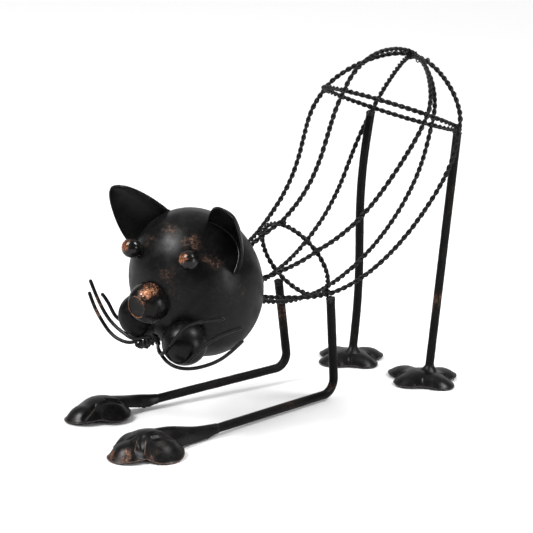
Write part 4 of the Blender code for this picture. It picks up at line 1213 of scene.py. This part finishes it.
# welds on legs and face
footFillet = {"reach": 3.4, "height": 4.6, "spokes": 40, "clear": 0.12, "sunk": 0.35, "narrowing": 2.4}
wristSeam = [(-34, -98.6, 5), (-33.8, -95.2, 3.6), (-33.2, -91.6, 3.2)]
muzzleLoop = [(-1.8, 38, -31.1), (1.5, 39, -29.8), (4.1, 42, -31.6), (6.1, 44, -34.4),
              (9.7, 46.5, -36.3), (14.1, 49, -34.9), (17.5, 50.2, -31.2)]
muzzleChain = [(-19.5, 34, -39.6), (-16.6, 34, -40.3), (-13.6, 35, -38.9), (-10.6, 36, -38.4),
               (-8, 36.5, -36), (-5.2, 37, -34.6), (-3, 38, -32), (-16, 34, -37.4),
               (-12.6, 35, -36.2), (-9.4, 35.5, -34), (-6.4, 36, -32.4), (-2.6, 36, -30.4),
               (-2.3, 38.5, -29.1), (-0.1, 38.5, -30.6), (1.2, 38.5, -33)]


def makeLegWelds():
    bm = bmesh.new()
    for i, (key, path) in enumerate(legPaths.items()):
        top = path[0] if key.startswith("front") else path[-1]
        bead(bm, top + [0, 0, 0.2], "legTop", i)
        bead(bm, top + [1.2, -1.5, -0.8], "legSide", i)
    # rough seam left under the right wrist
    for i, spot in enumerate(wristSeam):
        bead(bm, spot, "wrist", i)
    return meshOf(bm, sharp=60)


def makeFootFillets():
    # Weld metal drawn up round each rear foot, wider and rougher at the paw.
    merged = bmesh.new()
    for i, key in enumerate(("rear_left", "rear_right")):
        path = legPaths[key]
        foot, up = path[0], unit(path[3] - path[0])
        side = unit(np.cross(up, [0.0, 1.0, 0.0]))
        other = np.cross(up, side)

        def pointAt(share, around):
            rough = Vector((cos(around) * 1.3, sin(around) * 1.3, i * 5 + share))
            lumps = 1 + 0.3 * noise.noise(rough)
            flare = footFillet["reach"] * (1 - share) ** footFillet["narrowing"] * lumps
            radius = stock["rod"] / 2 + footFillet["clear"] + flare
            spot = foot + inPlane(side, other, around) * radius
            low = pawTopNear(paws[key], spot) - footFillet["sunk"]
            spot = spot + up * footFillet["height"] * share * lumps
            spot[2] = low + (foot[2] + footFillet["height"] * lumps - low) * share
            return spot

        made = loft(list(np.linspace(0, 1, 12)), footFillet["spokes"], pointAt)
        mesh = bpy.data.meshes.new("fillet")
        made.to_mesh(mesh)
        made.free()
        merged.from_mesh(mesh)
        bpy.data.meshes.remove(mesh)
    return meshOf(merged, sharp=60)


def makeFaceWelds():
    bm = bmesh.new()
    for i, side in enumerate(("left", "right")):
        root = onHead(*eyes[side], eyes["beadLift"])
        way, other = roundAxis(faceDirection(*eyes[side]))
        for step in range(eyes["beads"]):
            out = inPlane(way, other, 2 * pi * step / eyes["beads"]) * eyes["beadRing"]
            bead(bm, root + out, "eye", i * 20 + step)
    for i, mirrored in enumerate((False, True)):
        for step, across in enumerate((-0.98, 0.98)):
            bead(bm, earLeaf(mirrored)(across, 0.01), "ear", i * 9 + step)
    for step, point in enumerate(muzzleChain):
        bead(bm, fromFace(*point), "muzzle", step)
    return meshOf(bm, sharp=60)


muzzlePath = smoothPath([fromFace(*control) for control in muzzleLoop], 50)
wear("legWelds", makeLegWelds(), cagePaint)
wear("footFillets", makeFootFillets(), pawPaint["rear_left"])
wear("faceWelds", makeFaceWelds(), whiskerPaint)
wear("muzzleWire", domedTube([muzzlePath], stock["muzzle"] / 2, 12), whiskerPaint)
print("welds laid")


# studio: how bright the floor and the room are, seen straight and in a reflection
studio = {"floor": (0.93, 0.46), "room": (0.63, 0.08), "halfWidth": 25, "middle": (0, -30, 110)}
# way from the cat as (right, up, towards the camera), distance, width, height and power
softboxes = {"left": ((-0.58, 0.66, 0.48), 1.7, 0.6, 0.7, 25),
             "right": ((0.62, 0.72, 0.32), 1.7, 0.5, 0.6, 15),
             "low": ((0.85, -0.05, 0.52), 1.9, 0.6, 0.8, 8), "above": ((0.0, 1.0, -0.3), 2.3, 3.4, 3.4, 8),
             "backdrop": ((0.0, 0.25, -1.0), 2.6, 5.0, 3.0, 28)}


def dimmed(tree, straight, reflected):
    # Dimmer in reflections, as black cards round the set would make it.
    rays = addNode(tree, "LightPath", {}).outputs["Is Glossy Ray"]
    inputs = {"Value": rays, "To Min": straight, "To Max": reflected}
    return addNode(tree, "MapRange", inputs).outputs["Result"]


def makeStudio():
    scene = bpy.context.scene
    scene.view_settings.view_transform = "Standard"
    bm = bmesh.new()
    bmesh.ops.create_grid(bm, x_segments=1, y_segments=1, size=studio["halfWidth"])
    mesh = bpy.data.meshes.new("floor")
    bm.to_mesh(mesh)
    bm.free()
    floor = addObject("floor", mesh)
    material = bpy.data.materials.new("paleFloor")
    material.use_nodes = True
    tree = material.node_tree
    setInputs(tree, tree.nodes["Principled BSDF"], {
        "Base Color": dimmed(tree, *studio["floor"]), "Roughness": 0.7, "Specular IOR Level": 0.2})
    mesh.materials.append(material)
    scene.world = bpy.data.worlds.new("studio")
    scene.world.use_nodes = True
    tree = scene.world.node_tree
    setInputs(tree, tree.nodes["Background"], {
        "Color": (1, 1, 1, 1), "Strength": dimmed(tree, *studio["room"])})
    for name, (way, distance, width, height, power) in softboxes.items():
        data = bpy.data.lights.new(name + "Softbox", "AREA")
        data.shape = "RECTANGLE"
        data.size, data.size_y = width, height
        data.energy = power
        light = addObject(name + "Softbox", data)
        towards = Vector(unit(fromView(0, *way)))
        light.location = place(studio["middle"]) + towards * distance
        light.rotation_euler = towards.to_track_quat("Z", "Y").to_euler()


makeStudio()
print("studio lit")
